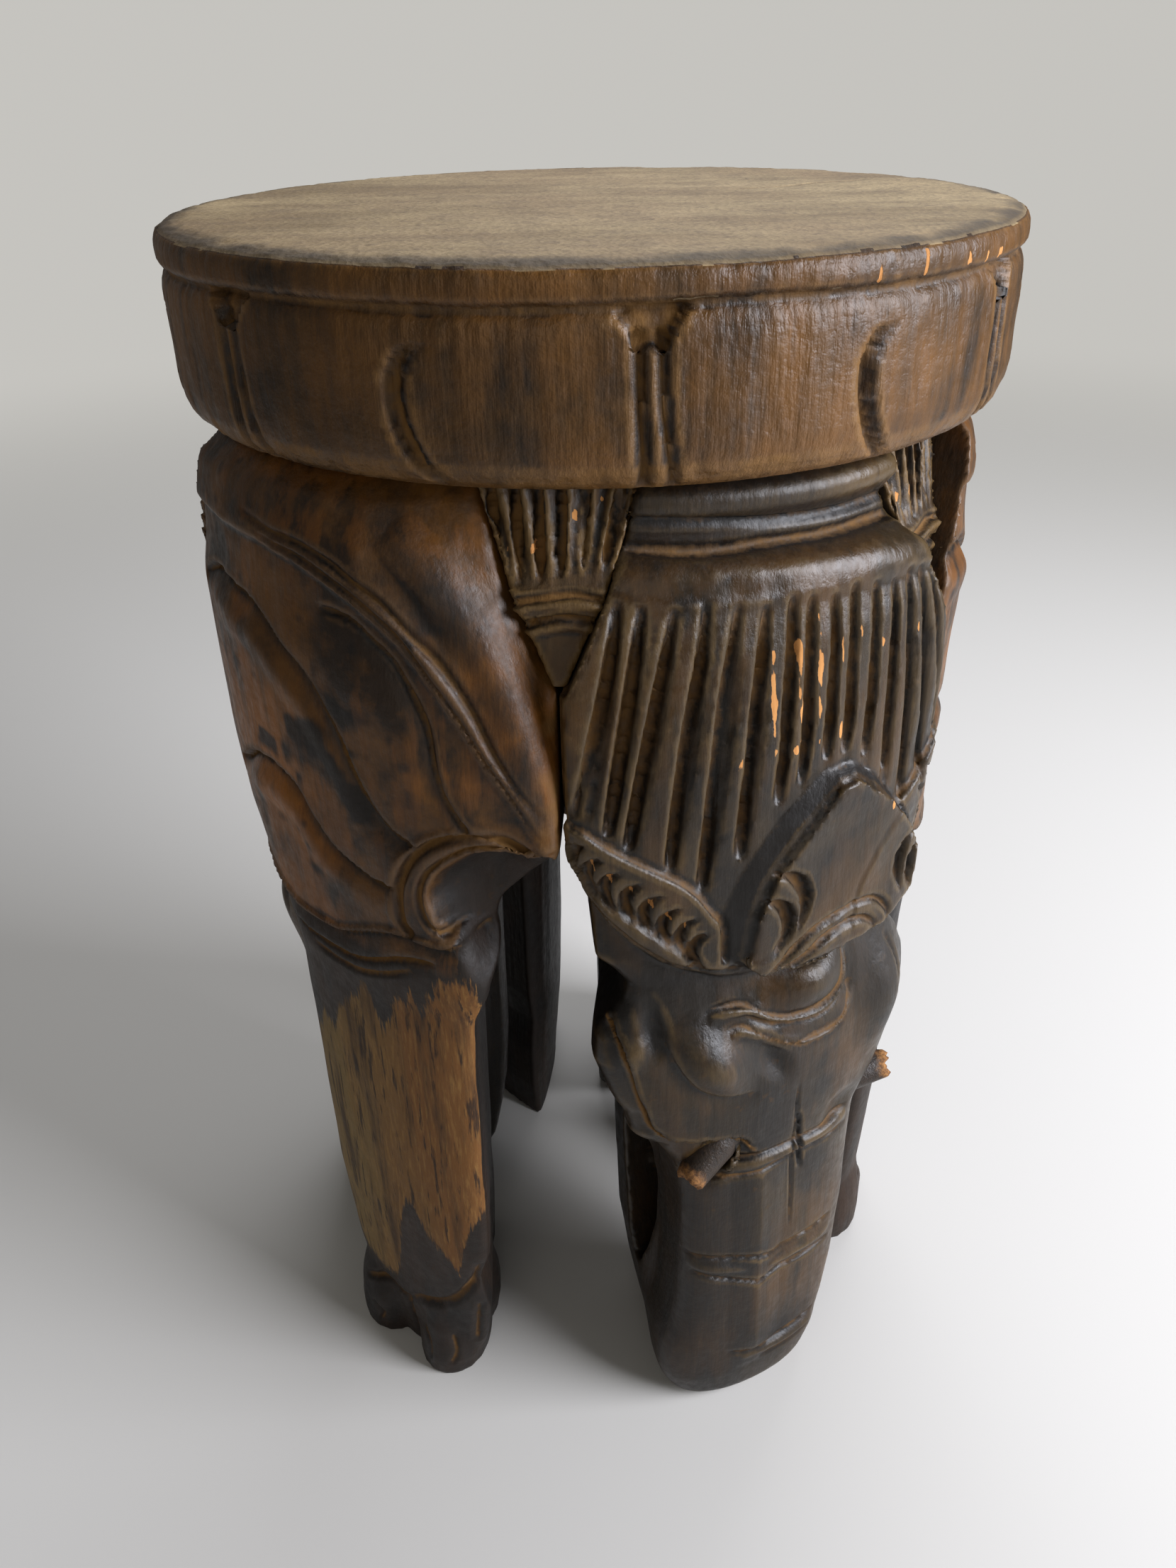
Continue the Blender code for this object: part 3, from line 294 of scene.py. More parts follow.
class Skin:
    """A closed carved surface held as arrays, on which lines, dishes and bumps are laid."""

    def __init__(self, points: Points, faces: Points, turn: float) -> None:
        """Keep the arrays.

        Args:
            points: (n, 3) places in millimetres.
            faces: (m, 4) corners of the quads.
            turn: the block's azimuth in degrees, which becomes 0 on the skin.
        """
        self.points = points
        self.faces = faces
        self.turn = turn
        self.marks = {mark: np.zeros(len(points)) for mark in Mark}
        edges = np.vstack([faces[:, [i, (i + 1) % 4]] for i in range(4)])
        self.edges = np.unique(np.sort(edges, axis=1), axis=0)
        ends = self.edges.ravel()
        self.degree = np.maximum(np.bincount(ends, minlength=len(points)), 1).astype(float)
        lengths = np.linalg.norm(points[self.edges[:, 0]] - points[self.edges[:, 1]], axis=1)
        self.step = float(np.median(lengths))
        self.update()

    def update(self) -> None:
        """Work out the places on the unrolled skin and the outward normals again."""
        x, y = self.points[:, 0], self.points[:, 1]
        azimuth = np.degrees(np.arctan2(x, -y)) - self.turn
        self.azimuth = (azimuth + 180) % 360 - 180
        self.radius = np.hypot(x, y)
        self.height = self.points[:, 2]
        self.flat = np.column_stack([self.azimuth * ARC, self.height])
        a, b, c, d = (self.points[self.faces[:, i]] for i in range(4))
        face_normals = np.cross(c - a, d - b)
        normals = np.zeros_like(self.points)
        for i in range(4):
            for k in range(3):
                normals[:, k] += np.bincount(self.faces[:, i], face_normals[:, k], len(self.points))
        self.normals = normals / np.maximum(np.linalg.norm(normals, axis=1), TINY)[:, None]
        radial = self.points[:, :2] / np.maximum(self.radius, TINY)[:, None]
        self.facing = (self.normals[:, :2] * radial).sum(1)

    def around(self, values: Points) -> Points:
        """Average over each point's neighbours.

        Args:
            values: one number or three for each point.
        Returns:
            The neighbours' mean, in the same shape.
        """
        i, j = self.edges[:, 0], self.edges[:, 1]
        columns = values.reshape(len(values), -1)
        total = [np.bincount(i, c[j], len(c)) + np.bincount(j, c[i], len(c)) for c in columns.T]
        return (np.stack(total, -1) / self.degree[:, None]).reshape(values.shape)

    def relax(self, rounds: int, weight: Points) -> None:
        """Move each point halfway to the mean of its neighbours, again and again.

        Args:
            rounds: how many times.
            weight: 1 for each point that moves in full, 0 for each that stays.
        """
        for _ in range(rounds):
            self.points = self.points + (self.around(self.points) - self.points) * (0.5 * weight[:, None])
        self.update()

    def calm(self, rounds: int) -> None:
        """Take the grid's own steps out of the whole surface without shrinking it: a move towards the
        neighbours' mean, then a slightly longer one back, again and again.

        Args:
            rounds: how many pairs of moves.
        """
        for _ in range(rounds):
            for share in CALM_PAIR:
                self.points = self.points + share * (self.around(self.points) - self.points)
        self.update()

    def soften(self, values: Points, rounds: int) -> Points:
        """Spread a value over the surface by taking the mean with the neighbours.

        Args:
            values: one number for each point.
            rounds: how many times.
        Returns:
            The spread values.
        """
        for _ in range(rounds):
            values = 0.5 * values + 0.5 * self.around(values)
        return values

    def slide(self, turn: Points, outward: Points) -> None:
        """Turn each point about the stool's axis and move it out from it.

        Args:
            turn: degrees for each point.
            outward: millimetres for each point.
        """
        angle = np.radians(self.azimuth + self.turn + turn)
        radius = self.radius + outward
        self.points = np.stack([radius * np.sin(angle), -radius * np.cos(angle), self.points[:, 2]], -1)
        self.update()

    def weather(self) -> None:
        """Mark the crests, where the stain is rubbed thin, and the hollows, where it gathers.

        The mean curvature is how far a point stands out from the mean of its neighbours along its
        normal, times two over the grid's step squared.
        """
        bend = ((self.points - self.around(self.points)) * self.normals).sum(1) * 2 / self.step**2
        bend = self.soften(bend, 3)
        self.paint(Mark.CREST, soft_step(bend, 0.02, 0.13))
        self.paint(Mark.HOLLOW, soft_step(-bend, 0.02, 0.12))

    def push(self, amount: Points) -> None:
        """Move each point along its normal, outwards for a positive amount in millimetres."""
        self.points = self.points + self.normals * amount[:, None]

    def outer(self, low: float = OUTWARD, high: float = 0.5) -> Points:
        """1 where the surface faces away from the stool's axis, 0 where it doesn't."""
        return soft_step(self.facing, low, high)

    def within(self, curve: Points, reach: float) -> Points:
        """Find the outward points near a curve.

        Args:
            curve: its points on the unrolled skin, in millimetres.
            reach: how far beyond its box, in millimetres.
        Returns:
            The numbers of those points.
        """
        low, high = curve.min(0) - reach, curve.max(0) + reach
        boxed = ((self.flat > low) & (self.flat < high)).all(1)
        return np.flatnonzero(boxed & (self.facing > OUTWARD))

    def snap(self, curves: Iterable[Points]) -> None:
        """Slide one row of points along the surface onto each curve, so that the bottom of a cut and
        the edge of a plate run clean. Of each two joined points on either side of the curve, the
        nearer one is moved.

        Args:
            curves: the curves' points on the unrolled skin, in millimetres.
        """
        reach, end = 2.0, 1e-6
        i, j = self.edges[:, 0], self.edges[:, 1]
        shift = np.zeros((len(self.points), 2))
        closest = np.full(len(self.points), self.step)
        for curve in curves:
            inside = self.within(curve, reach)
            if not len(inside):
                continue
            d, share, side, away = distance_to(curve, self.flat[inside])
            signed = np.full(len(self.points), np.nan)
            beyond = (share < end) | (share > 1 - end)
            signed[inside] = np.where(beyond, np.nan, d * side)
            crossing = signed[i] * signed[j] <= 0
            first, second = i[crossing], j[crossing]
            chosen = np.zeros(len(self.points), bool)
            chosen[np.where(np.abs(signed[first]) <= np.abs(signed[second]), first, second)] = True
            near = chosen[inside] & (d < closest[inside])
            closest[inside[near]] = d[near]
            shift[inside[near]] = -away[near]
        radial = self.points[:, :2] / np.maximum(self.radius, TINY)[:, None]
        across = shift[:, 0] * self.radius / SKIN_RADIUS
        move = np.stack([-radial[:, 1] * across, radial[:, 0] * across, shift[:, 1]], -1)
        move -= (move * self.normals).sum(1)[:, None] * self.normals
        self.points = self.points + move
        self.update()

    def cut(self, lines: Sequence[Line]) -> None:
        """Cut lines into the outward side, all from the same uncut surface.

        A V's depth falls off straight with the distance, a gouge's like a circle's arc, a round
        swell's or hollow's with a cosine, and a step is deep on the left of the line and fades over
        its spread.

        Args:
            lines: the lines, in the skin's own azimuths.
        """
        curves = [smooth_path(line.path) for line in lines]
        self.snap([row for curve, line in zip(curves, lines) for row in line.rows(curve)])
        depth = np.zeros(len(self.points))
        outer = self.outer()
        for curve, line in zip(curves, lines):
            spread = line.spread if line.edge is Edge.STEP else 0.0
            inside = self.within(curve, line.width * 2.5 + spread)
            if not len(inside):
                continue
            d, share, side, _ = distance_to(curve, self.flat[inside])
            fade = line.fade(share)
            if line.edge is Edge.VEE:
                section = np.clip(1 - d / line.width, 0, 1)
            elif line.gouged:
                section = np.sqrt(1 - np.clip(d / np.maximum(line.width * fade, 1e-6), 0, 1) ** 2)
            elif line.edge is Edge.ROUND:
                section = 0.5 + 0.5 * np.cos(np.pi * np.clip(d / line.width, 0, 1))
            else:
                far = np.clip(1 - d / line.spread, 0, 1) ** 2
                section = np.where((side > 0) | (d < 0.1), far, np.clip(1 - d / line.width, 0, 1))
            amount = line.depth * section * fade * outer[inside]
            cut = np.abs(amount) > np.abs(depth[inside])
            depth[inside] = np.where(cut, amount, depth[inside])
            strong = fade * outer[inside]
            # Ochre dust in the cut; beside it, twice as wide, dark stain gathered along the cut together
            # with painted shade.
            for mark, much, wide in ((Mark.DUST, line.dust, 0.68), (Mark.SOOT, line.shade, 2.0)):
                stain = much * np.clip(1.15 - d / (line.width * wide), 0, 1) * strong
                self.marks[mark][inside] = np.maximum(self.marks[mark][inside], stain)
        self.push(-depth)
        self.update()

    def plate(self, outline: Path, rise: float, foot: Path = ()) -> None:
        """Move what lies inside an outline straight out from the axis by one height.

        Args:
            outline: the plate's edge.
            rise: millimetres, negative to sink it.
            foot: the outline at which a sloping wall round the plate ends. Without one the wall is
                upright.
        """
        ways = (outline, foot or outline)
        edge, wall = (np.asarray(tuple(way) + tuple(way)[:1], float) * (ARC, 1.0) for way in ways)
        self.snap([edge, wall] if foot else [edge])
        to_edge, to_foot = distance_to(edge, self.flat)[0], distance_to(wall, self.flat)[0]
        share = np.maximum(self.inside(outline), to_edge < 0.12)
        if foot:
            slope = self.inside(foot) * to_foot / np.maximum(to_foot + to_edge, 1e-6)
            # Painted shade on the sloping wall round the plate.
            self.paint(Mark.SOOT, 0.85 * (slope > 0.02) * (share < 0.5))
            share = np.maximum(share, slope)
        self.slide(np.zeros(len(share)), rise * share * self.outer(0.05, 0.3))

    def dome(
        self, centre: tuple[float, float], size: tuple[float, float], rise: float, lean: float = 0.0
    ) -> None:
        """Raise a bump, or sink a dish when rise is negative: a cosine bell on an ellipse.

        Args:
            centre: azimuth and height of its middle.
            size: its two half axes in millimetres, sideways and upright.
            rise: millimetres.
            lean: degrees its upright axis turns towards larger azimuth.
        """
        shift = self.flat - (centre[0] * ARC, centre[1])
        c, s = math.cos(math.radians(lean)), math.sin(math.radians(lean))
        across = (shift[:, 0] * c - shift[:, 1] * s) / size[0]
        up = (shift[:, 0] * s + shift[:, 1] * c) / size[1]
        bell = 0.5 + 0.5 * np.cos(np.pi * np.clip(np.hypot(across, up), 0, 1))
        self.push(rise * bell * self.outer())
        self.update()

    def paint(self, mark: Mark, amount: Points) -> None:
        """Lay a mark where it is stronger than what is there."""
        self.marks[mark] = np.maximum(self.marks[mark], np.clip(amount, 0, 1))

    def inside(self, outline: Path) -> Points:
        """Find the points inside an outline on the unrolled skin: a ray from them crosses it an odd
        number of times.

        Args:
            outline: its corners.
        Returns:
            1 for each point inside, 0 for each outside.
        """
        corners = np.asarray(outline, float) * (ARC, 1.0)
        x, z = self.flat[:, 0], self.flat[:, 1]
        hits = np.zeros(len(x), bool)
        for (x0, z0), (x1, z1) in zip(corners, np.roll(corners, -1, axis=0)):
            span = (z0 > z) != (z1 > z)
            at = x0 + (z - z0) * (x1 - x0) / (z1 - z0 if z1 != z0 else TINY)
            hits ^= span & (x < at)
        return hits.astype(float)

    def make(self, name: str, spare: Optional[Points] = None) -> bpy.types.Object:
        """Put the arrays into a mesh object, in metres, with its marks as attributes.

        Args:
            name: the object's name.
            spare: which points lie where nothing is seen or nothing is carved. A piece with more
                faces than it may have is thinned out there.
        Returns:
            The object.
        """
        mesh = bpy.data.meshes.new(name)
        mesh.vertices.add(len(self.points))
        mesh.vertices.foreach_set("co", (self.points * MM).ravel().astype(np.float32))
        mesh.loops.add(len(self.faces) * 4)
        mesh.loops.foreach_set("vertex_index", self.faces.ravel().astype(np.int32))
        mesh.polygons.add(len(self.faces))
        mesh.polygons.foreach_set("loop_start", np.arange(0, len(self.faces) * 4, 4, dtype=np.int32))
        mesh.update(calc_edges=True)
        mesh.validate()
        mesh.shade_smooth()
        for mark, values in self.marks.items():
            layer = mesh.attributes.new(mark.value, "FLOAT", "POINT")
            layer.data.foreach_set("value", np.clip(values, 0, 1).astype(np.float32))
        obj = bpy.data.objects.new(name, mesh)
        bpy.context.scene.collection.objects.link(obj)
        if spare is not None and len(self.faces) > MOST_QUADS:
            obj.vertex_groups.new(name="spare").add(np.flatnonzero(spare).tolist(), 1.0, "REPLACE")
            thin = obj.modifiers.new("thin", "DECIMATE")
            thin.ratio = MOST_QUADS / len(self.faces)
            thin.vertex_group = "spare"
            thin.vertex_group_factor = SPARE_FACTOR
            graph = bpy.context.evaluated_depsgraph_get()
            obj.data = bpy.data.meshes.new_from_object(obj.evaluated_get(graph))
            obj.modifiers.clear()
            obj.vertex_groups.clear()
            bpy.data.meshes.remove(mesh)
            obj.data.name = name
        return obj


def solid_skin(node: str, voxel: float, turn: float) -> Skin:
    """Take a CAD node's own solid as an even grid of quads, so that carving can be laid on it.

    The node's loose triangles are merged in a copy, and a voxel remesh lays quads of one size over
    it. The copy keeps the hole through a trunk and the joined lobes of a foot, which no single
    two-parameter sheet can.

    Args:
        node: the CAD node's name.
        voxel: the grid's size in millimetres.
        turn: the block's azimuth.
    Returns:
        The skin, in millimetres.
    """
    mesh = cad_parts[node].data.copy()
    shape = bmesh.new()
    shape.from_mesh(mesh)
    bmesh.ops.remove_doubles(shape, verts=shape.verts, dist=1e-5)
    shape.to_mesh(mesh)
    shape.free()
    blank = bpy.data.objects.new(node + "_blank", mesh)
    bpy.context.scene.collection.objects.link(blank)
    remesh = blank.modifiers.new("grid", "REMESH")
    remesh.mode = "VOXEL"
    remesh.voxel_size = voxel * MM
    graph = bpy.context.evaluated_depsgraph_get()
    graph.update()
    made = blank.evaluated_get(graph).to_mesh()
    points = np.zeros(len(made.vertices) * 3)
    made.vertices.foreach_get("co", points)
    corners = np.zeros(len(made.polygons) * 4, np.int32)
    made.loops.foreach_get("vertex_index", corners)
    blank.evaluated_get(graph).to_mesh_clear()
    bpy.data.objects.remove(blank)
    bpy.data.meshes.remove(mesh)
    return Skin(points.reshape(-1, 3) / MM, corners.reshape(-1, 4), turn)


def node_step(
    tree: bpy.types.NodeTree,
    kind: str,
    settings: Optional[dict] = None,
    links: Optional[dict] = None,
    out: int | str = 0,
) -> Optional[bpy.types.NodeSocket]:
    """Add one shader node.

    Args:
        tree: the material's node tree.
        kind: the node's type name, without its Shader prefix.
        settings: property or socket values by name or number.
        links: output sockets that feed this node's inputs, by name or number.
        out: which of its outputs to hand back.
    Returns:
        That output, or None for a node without one.
    """
    made = tree.nodes.new("ShaderNode" + kind)
    for key, value in (settings or {}).items():
        if isinstance(key, str) and hasattr(made, key):
            setattr(made, key, value)
        else:
            made.inputs[key].default_value = value
    for key, socket in (links or {}).items():
        tree.links.new(socket, made.inputs[key])
    return made.outputs[out] if made.outputs else None


def empty_material(name: str) -> bpy.types.Material:
    """Make a node material with nothing in it yet.

    Args:
        name: the material's name.
    Returns:
        The material.
    """
    made = bpy.data.materials.new(name)
    made.use_nodes = True
    made.node_tree.nodes.clear()
    return made


@dataclass(frozen=True)
class CarvedStain:
    """Tropical hardwood carved with gouges, rubbed with dark stain and dusted with ochre.

    The stain lies thick and nearly black in the hollows, thin and red-brown on the crests, and its
    wax gives a soft sheen. The grain runs upright, with pores a few tenths of a millimetre wide,
    drawn wider than they are so that they show.
    """

    name: str
    deep: str
    mid: str
    warm: str
    crest: str
    warm_share: float
    gloss: float
    chatter: float = 0.3
    dust_tone: str = "6E4E24"
    soot_and_shade_tone: str = "110E0C"
    hollow_tone: str = "0D0A08"
    raw_dark: str = "A0642F"
    raw_pale: str = "CB9558"
    wax_ior: float = 1.40

    def build(self) -> bpy.types.Material:
        """Make the node material: the stain's own tones, then each mark laid over them in turn."""
        made = empty_material(self.name)
        step = partial(node_step, made.node_tree)
        place = step("TexCoord", out="Object")
        upright = step("Mapping", {"Scale": (1.0, 1.0, 0.10)}, {"Vector": place})
        scales = (
            (420.0, 4.0, upright), (950.0, 3.0, upright), (110.0, 5.0, upright),
            (34.0, 6.0, place), (13.0, 4.0, place), (260.0, 3.0, place),
        )
        grain, hair, streak, blotch, cloud, fine = (
            step("TexNoise", {"Scale": scale, "Detail": detail, "Roughness": 0.62}, {"Vector": vector})
            for scale, detail, vector in scales
        )
        marks = (Mark.CREST, Mark.HOLLOW, Mark.SOOT, Mark.WORN, Mark.DUST, Mark.CHIP)
        crest, hollow, soot, worn, dust, chip = (
            step("Attribute", {"attribute_name": mark.value}, out="Fac") for mark in marks
        )
        sums = {
            "warm": (cloud, (streak, 0.6), (0.74, 0.94, self.warm_share)),
            "crest": (crest, (fine, 0.9), (0.55, 1.45, 0.75)),
            "streak": (streak, (fine, 0.0), (0.54, 0.68, 0.6)),
            "hollow": (hollow, (fine, 0.6), (0.40, 1.30, 0.85)),
            "soot": (soot, (blotch, 0.7), (hair, 0.5), (0.72, 1.35, 0.92)),
            "worn": (worn, (streak, 0.7), (hair, 0.9), (1.18, 1.34, 1.0)),
            "dust": (dust, (hollow, 0.12), (blotch, 0.8), (fine, 0.8), (0.98, 1.62, 0.9)),
            "chip": (chip, (fine, 0.5), (hair, 0.8), (1.18, 1.30, 1.0)),
        }
        share = {}
        for name, (total, *parts, (low, high, top)) in sums.items():
            for value, factor in parts:
                total = step("Math", {"operation": "MULTIPLY_ADD", 1: factor}, {0: value, 2: total})
            share[name] = step("MapRange", {1: low, 2: high, 4: top}, {0: total})
        mixed = step("MapRange", {1: 0.40, 2: 0.60}, {0: blotch})
        tone = step("Mix", {"data_type": "RGBA", 6: linear(self.deep), 7: linear(self.mid)}, {0: mixed}, 2)
        # The soot tone is laid both where soot blackens the wood and where shade is painted in.
        tones = {
            "warm": self.warm, "crest": self.crest, "streak": self.deep,
            "hollow": self.hollow_tone, "soot": self.soot_and_shade_tone,
        }
        for name, code in tones.items():
            tone = step("Mix", {"data_type": "RGBA", 7: linear(code)}, {0: share[name], 6: tone}, 2)
        bare = self.bare(step, upright, streak, grain, hair)
        tone = step("Mix", {"data_type": "RGBA"}, {0: share["worn"], 6: tone, 7: bare}, 2)
        tone = step("Mix", {"data_type": "RGBA", 7: linear(self.dust_tone)}, {0: share["dust"], 6: tone}, 2)
        splinters = {"data_type": "RGBA", 6: linear(self.raw_dark), 7: linear(self.raw_pale)}
        raw = step("Mix", splinters, {0: grain}, 2)
        tone = step("Mix", {"data_type": "RGBA"}, {0: share["chip"], 6: tone, 7: raw}, 2)
        matt = step("Math", {"operation": "MAXIMUM"}, {0: share["dust"], 1: share["chip"]})
        for value, factor in ((share["worn"], 0.35), (soot, 0.3)):
            held = {"operation": "MULTIPLY_ADD", 1: factor, "use_clamp": True}
            matt = step("Math", held, {0: value, 2: matt})
        rough = step("MapRange", {1: 0.35, 2: 0.65, 3: self.gloss, 4: self.gloss + 0.16}, {0: fine})
        rough = step("Mix", {"data_type": "FLOAT", 3: 0.85}, {0: matt, 2: rough})
        relief = fine
        for value, factor in ((grain, 0.8), (streak, 1.6), (share["chip"], -0.6)):
            relief = step("Math", {"operation": "MULTIPLY_ADD", 1: factor}, {0: value, 2: relief})
        bump = step("Bump", {"Strength": self.chatter, "Distance": 0.0012}, {"Height": relief})
        shader = step(
            "BsdfPrincipled",
            {"IOR": self.wax_ior, "Metallic": 0.0},
            {"Base Color": tone, "Roughness": rough, "Normal": bump},
        )
        step("OutputMaterial", None, {0: shader})
        return made

    def bare(
        self,
        step: Callable[..., bpy.types.NodeSocket],
        upright: bpy.types.NodeSocket,
        streak: bpy.types.NodeSocket,
        grain: bpy.types.NodeSocket,
        hair: bpy.types.NodeSocket,
    ) -> bpy.types.NodeSocket:
        """Bare wood worn through the stain: orange-brown, olive-tan where it is greasy, dark pores.

        Args:
            step: adds a node to the material's tree.
            upright: coordinates squeezed along the grain.
            streak: the broad streak noise.
            grain: the fine grain noise.
            hair: the finest grain noise.
        Returns:
            The colour socket.
        """
        side = step("SeparateXYZ", None, {0: upright})
        broad = step("TexNoise", {"Scale": 60.0, "Detail": 3.0, "Roughness": 0.5}, {"Vector": upright})
        across = step("Math", {"operation": "MULTIPLY_ADD", 1: 16.0}, {0: side, 2: broad})
        share = step("MapRange", {1: -1.25, 2: -0.55}, {0: across})
        tone = step("Mix", {"data_type": "RGBA", 6: linear("705B33"), 7: linear("6F4920")}, {0: share}, 2)
        layers = (
            (hair, 0.50, 0.68, 0.5, "94703C"), (streak, 0.50, 0.66, 0.85, "352312"),
            (grain, 0.56, 0.64, 0.85, "24170E"),
        )
        for value, low, high, top, code in layers:
            share = step("MapRange", {1: low, 2: high, 4: top}, {0: value})
            tone = step("Mix", {"data_type": "RGBA", 7: linear(code)}, {0: share, 6: tone}, 2)
        return tone


@dataclass(frozen=True)
class EndGrain:
    """The seat's sawn and worn top, seen end on: grey-tan, matt, with faint streaks, a check and a
    dark rim. Its pores are a few tenths of a millimetre, drawn at one or two so that they show."""

    name: str = "Worn end grain"
    ior: float = 1.45
    roughness: float = 0.72

    def build(self) -> bpy.types.Material:
        """Make the node material."""
        made = empty_material(self.name)
        step = partial(node_step, made.node_tree)
        place = step("TexCoord", out="Object")
        wide = step("Mapping", {"Scale": (0.30, 1.0, 1.0), "Rotation": (0.0, 0.0, 0.12)}, {"Vector": place})
        scales = ((28.0, 6.0, wide), (8.0, 5.0, place), (330.0, 4.0, place), (90.0, 6.0, place))
        drift, patch, fine, mottle = (
            step("TexNoise", {"Scale": scale, "Detail": detail, "Roughness": 0.62}, {"Vector": vector})
            for scale, detail, vector in scales
        )
        pores = step("TexVoronoi", {"Scale": 520.0}, {"Vector": place})
        share = step("MapRange", {1: 0.36, 2: 0.64}, {0: drift})
        tone = step("Mix", {"data_type": "RGBA", 6: linear("806B48"), 7: linear("B09A72")}, {0: share}, 2)
        marks = (Mark.SOOT, Mark.HOLLOW)
        soot, worn = (step("Attribute", {"attribute_name": mark.value}, out="Fac") for mark in marks)
        layers = (
            (patch, 0.46, 0.64, 0.6, "8A7150"), (mottle, 0.48, 0.66, 0.4, "6A563C"),
            (fine, 0.50, 0.68, 0.5, "66543E"), (worn, 0.10, 0.80, 0.8, "33281C"),
            (soot, 0.0, 1.0, 1.0, "2E2418"),
        )
        for value, low, high, top, code in layers:
            share = step("MapRange", {1: low, 2: high, 4: top}, {0: value})
            tone = step("Mix", {"data_type": "RGBA", 7: linear(code)}, {0: share, 6: tone}, 2)
        relief = step("Math", {"operation": "MULTIPLY_ADD", 1: 0.5}, {0: pores, 2: fine})
        bump = step("Bump", {"Strength": 0.35, "Distance": 0.0010}, {"Height": relief})
        dry = {"IOR": self.ior, "Roughness": self.roughness}
        shader = step("BsdfPrincipled", dry, {"Base Color": tone, "Normal": bump})
        step("OutputMaterial", None, {0: shader})
        return made


@dataclass(frozen=True)
class SplitWood:
    """Unstained wood with a split, fibrous face, at the broken ends of the tusks and on the dowels."""

    name: str
    pale: str = "9A6C3A"
    dark: str = "4E3018"
    stain: str = "1B1612"
    ior: float = 1.45

    def build(self) -> bpy.types.Material:
        """Make the node material."""
        made = empty_material(self.name)
        step = partial(node_step, made.node_tree)
        place = step("TexCoord", out="Object")
        fibre = step("TexNoise", {"Scale": 600.0, "Detail": 4.0, "Roughness": 0.7}, {"Vector": place})
        split = step("MapRange", {1: 0.36, 2: 0.62}, {0: fibre})
        tone = step("Mix", {"data_type": "RGBA", 6: linear(self.dark), 7: linear(self.pale)}, {0: split}, 2)
        soot = step("Attribute", {"attribute_name": Mark.SOOT.value}, out="Fac")
        tone = step("Mix", {"data_type": "RGBA", 7: linear(self.stain)}, {0: soot, 6: tone}, 2)
        rough = step("MapRange", {3: 0.8, 4: 0.40}, {0: soot})
        bump = step("Bump", {"Strength": 0.5, "Distance": 0.001}, {"Height": fibre})
        looks = {"Base Color": tone, "Roughness": rough, "Normal": bump}
        shader = step("BsdfPrincipled", {"IOR": self.ior}, looks)
        step("OutputMaterial", None, {0: shader})
        return made


CAP_STAIN = CarvedStain(
    "Dark waxed stain on carved wood", deep="17110A", mid="2D2212", warm="4E3517", crest="544226",
    warm_share=0.7, gloss=0.28, chatter=0.2,
)
HAUNCH_STAIN = CarvedStain(
    "Red-brown stain on carved wood", deep="24170A", mid="5C3B13", warm="8C561B", crest="5C4226",
    warm_share=0.85, gloss=0.37, chatter=0.22,
)
SEAT_STAIN = CarvedStain(
    "Brown stain on turned and carved wood", deep="281B0C", mid="493113", warm="6C471A",
    crest="74542C", warm_share=0.75, gloss=0.36, chatter=0.45,
)
FAN_STAIN = CarvedStain(
    "Dusty brown stain on carved wood", deep="20170D", mid="40301A", warm="5E4220", crest="68502C",
    warm_share=0.7, gloss=0.40, chatter=0.3,
)


def finish_piece(
    obj: bpy.types.Object, slot: str, finishes: Sequence[bpy.types.Material], *nodes: str
) -> None:
    """Give a piece its materials, make it ride on the stool and stand for its CAD nodes.

    Args:
        obj: the piece.
        slot: not used.
        finishes: its materials.
        nodes: the CAD nodes that it replaces.
    """
    for finish in finishes:
        obj.data.materials.append(finish)
    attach(obj, ROOT)
    if nodes:
        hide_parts(*nodes)
    LOG.info("%s: %d faces", obj.name, len(obj.data.polygons))


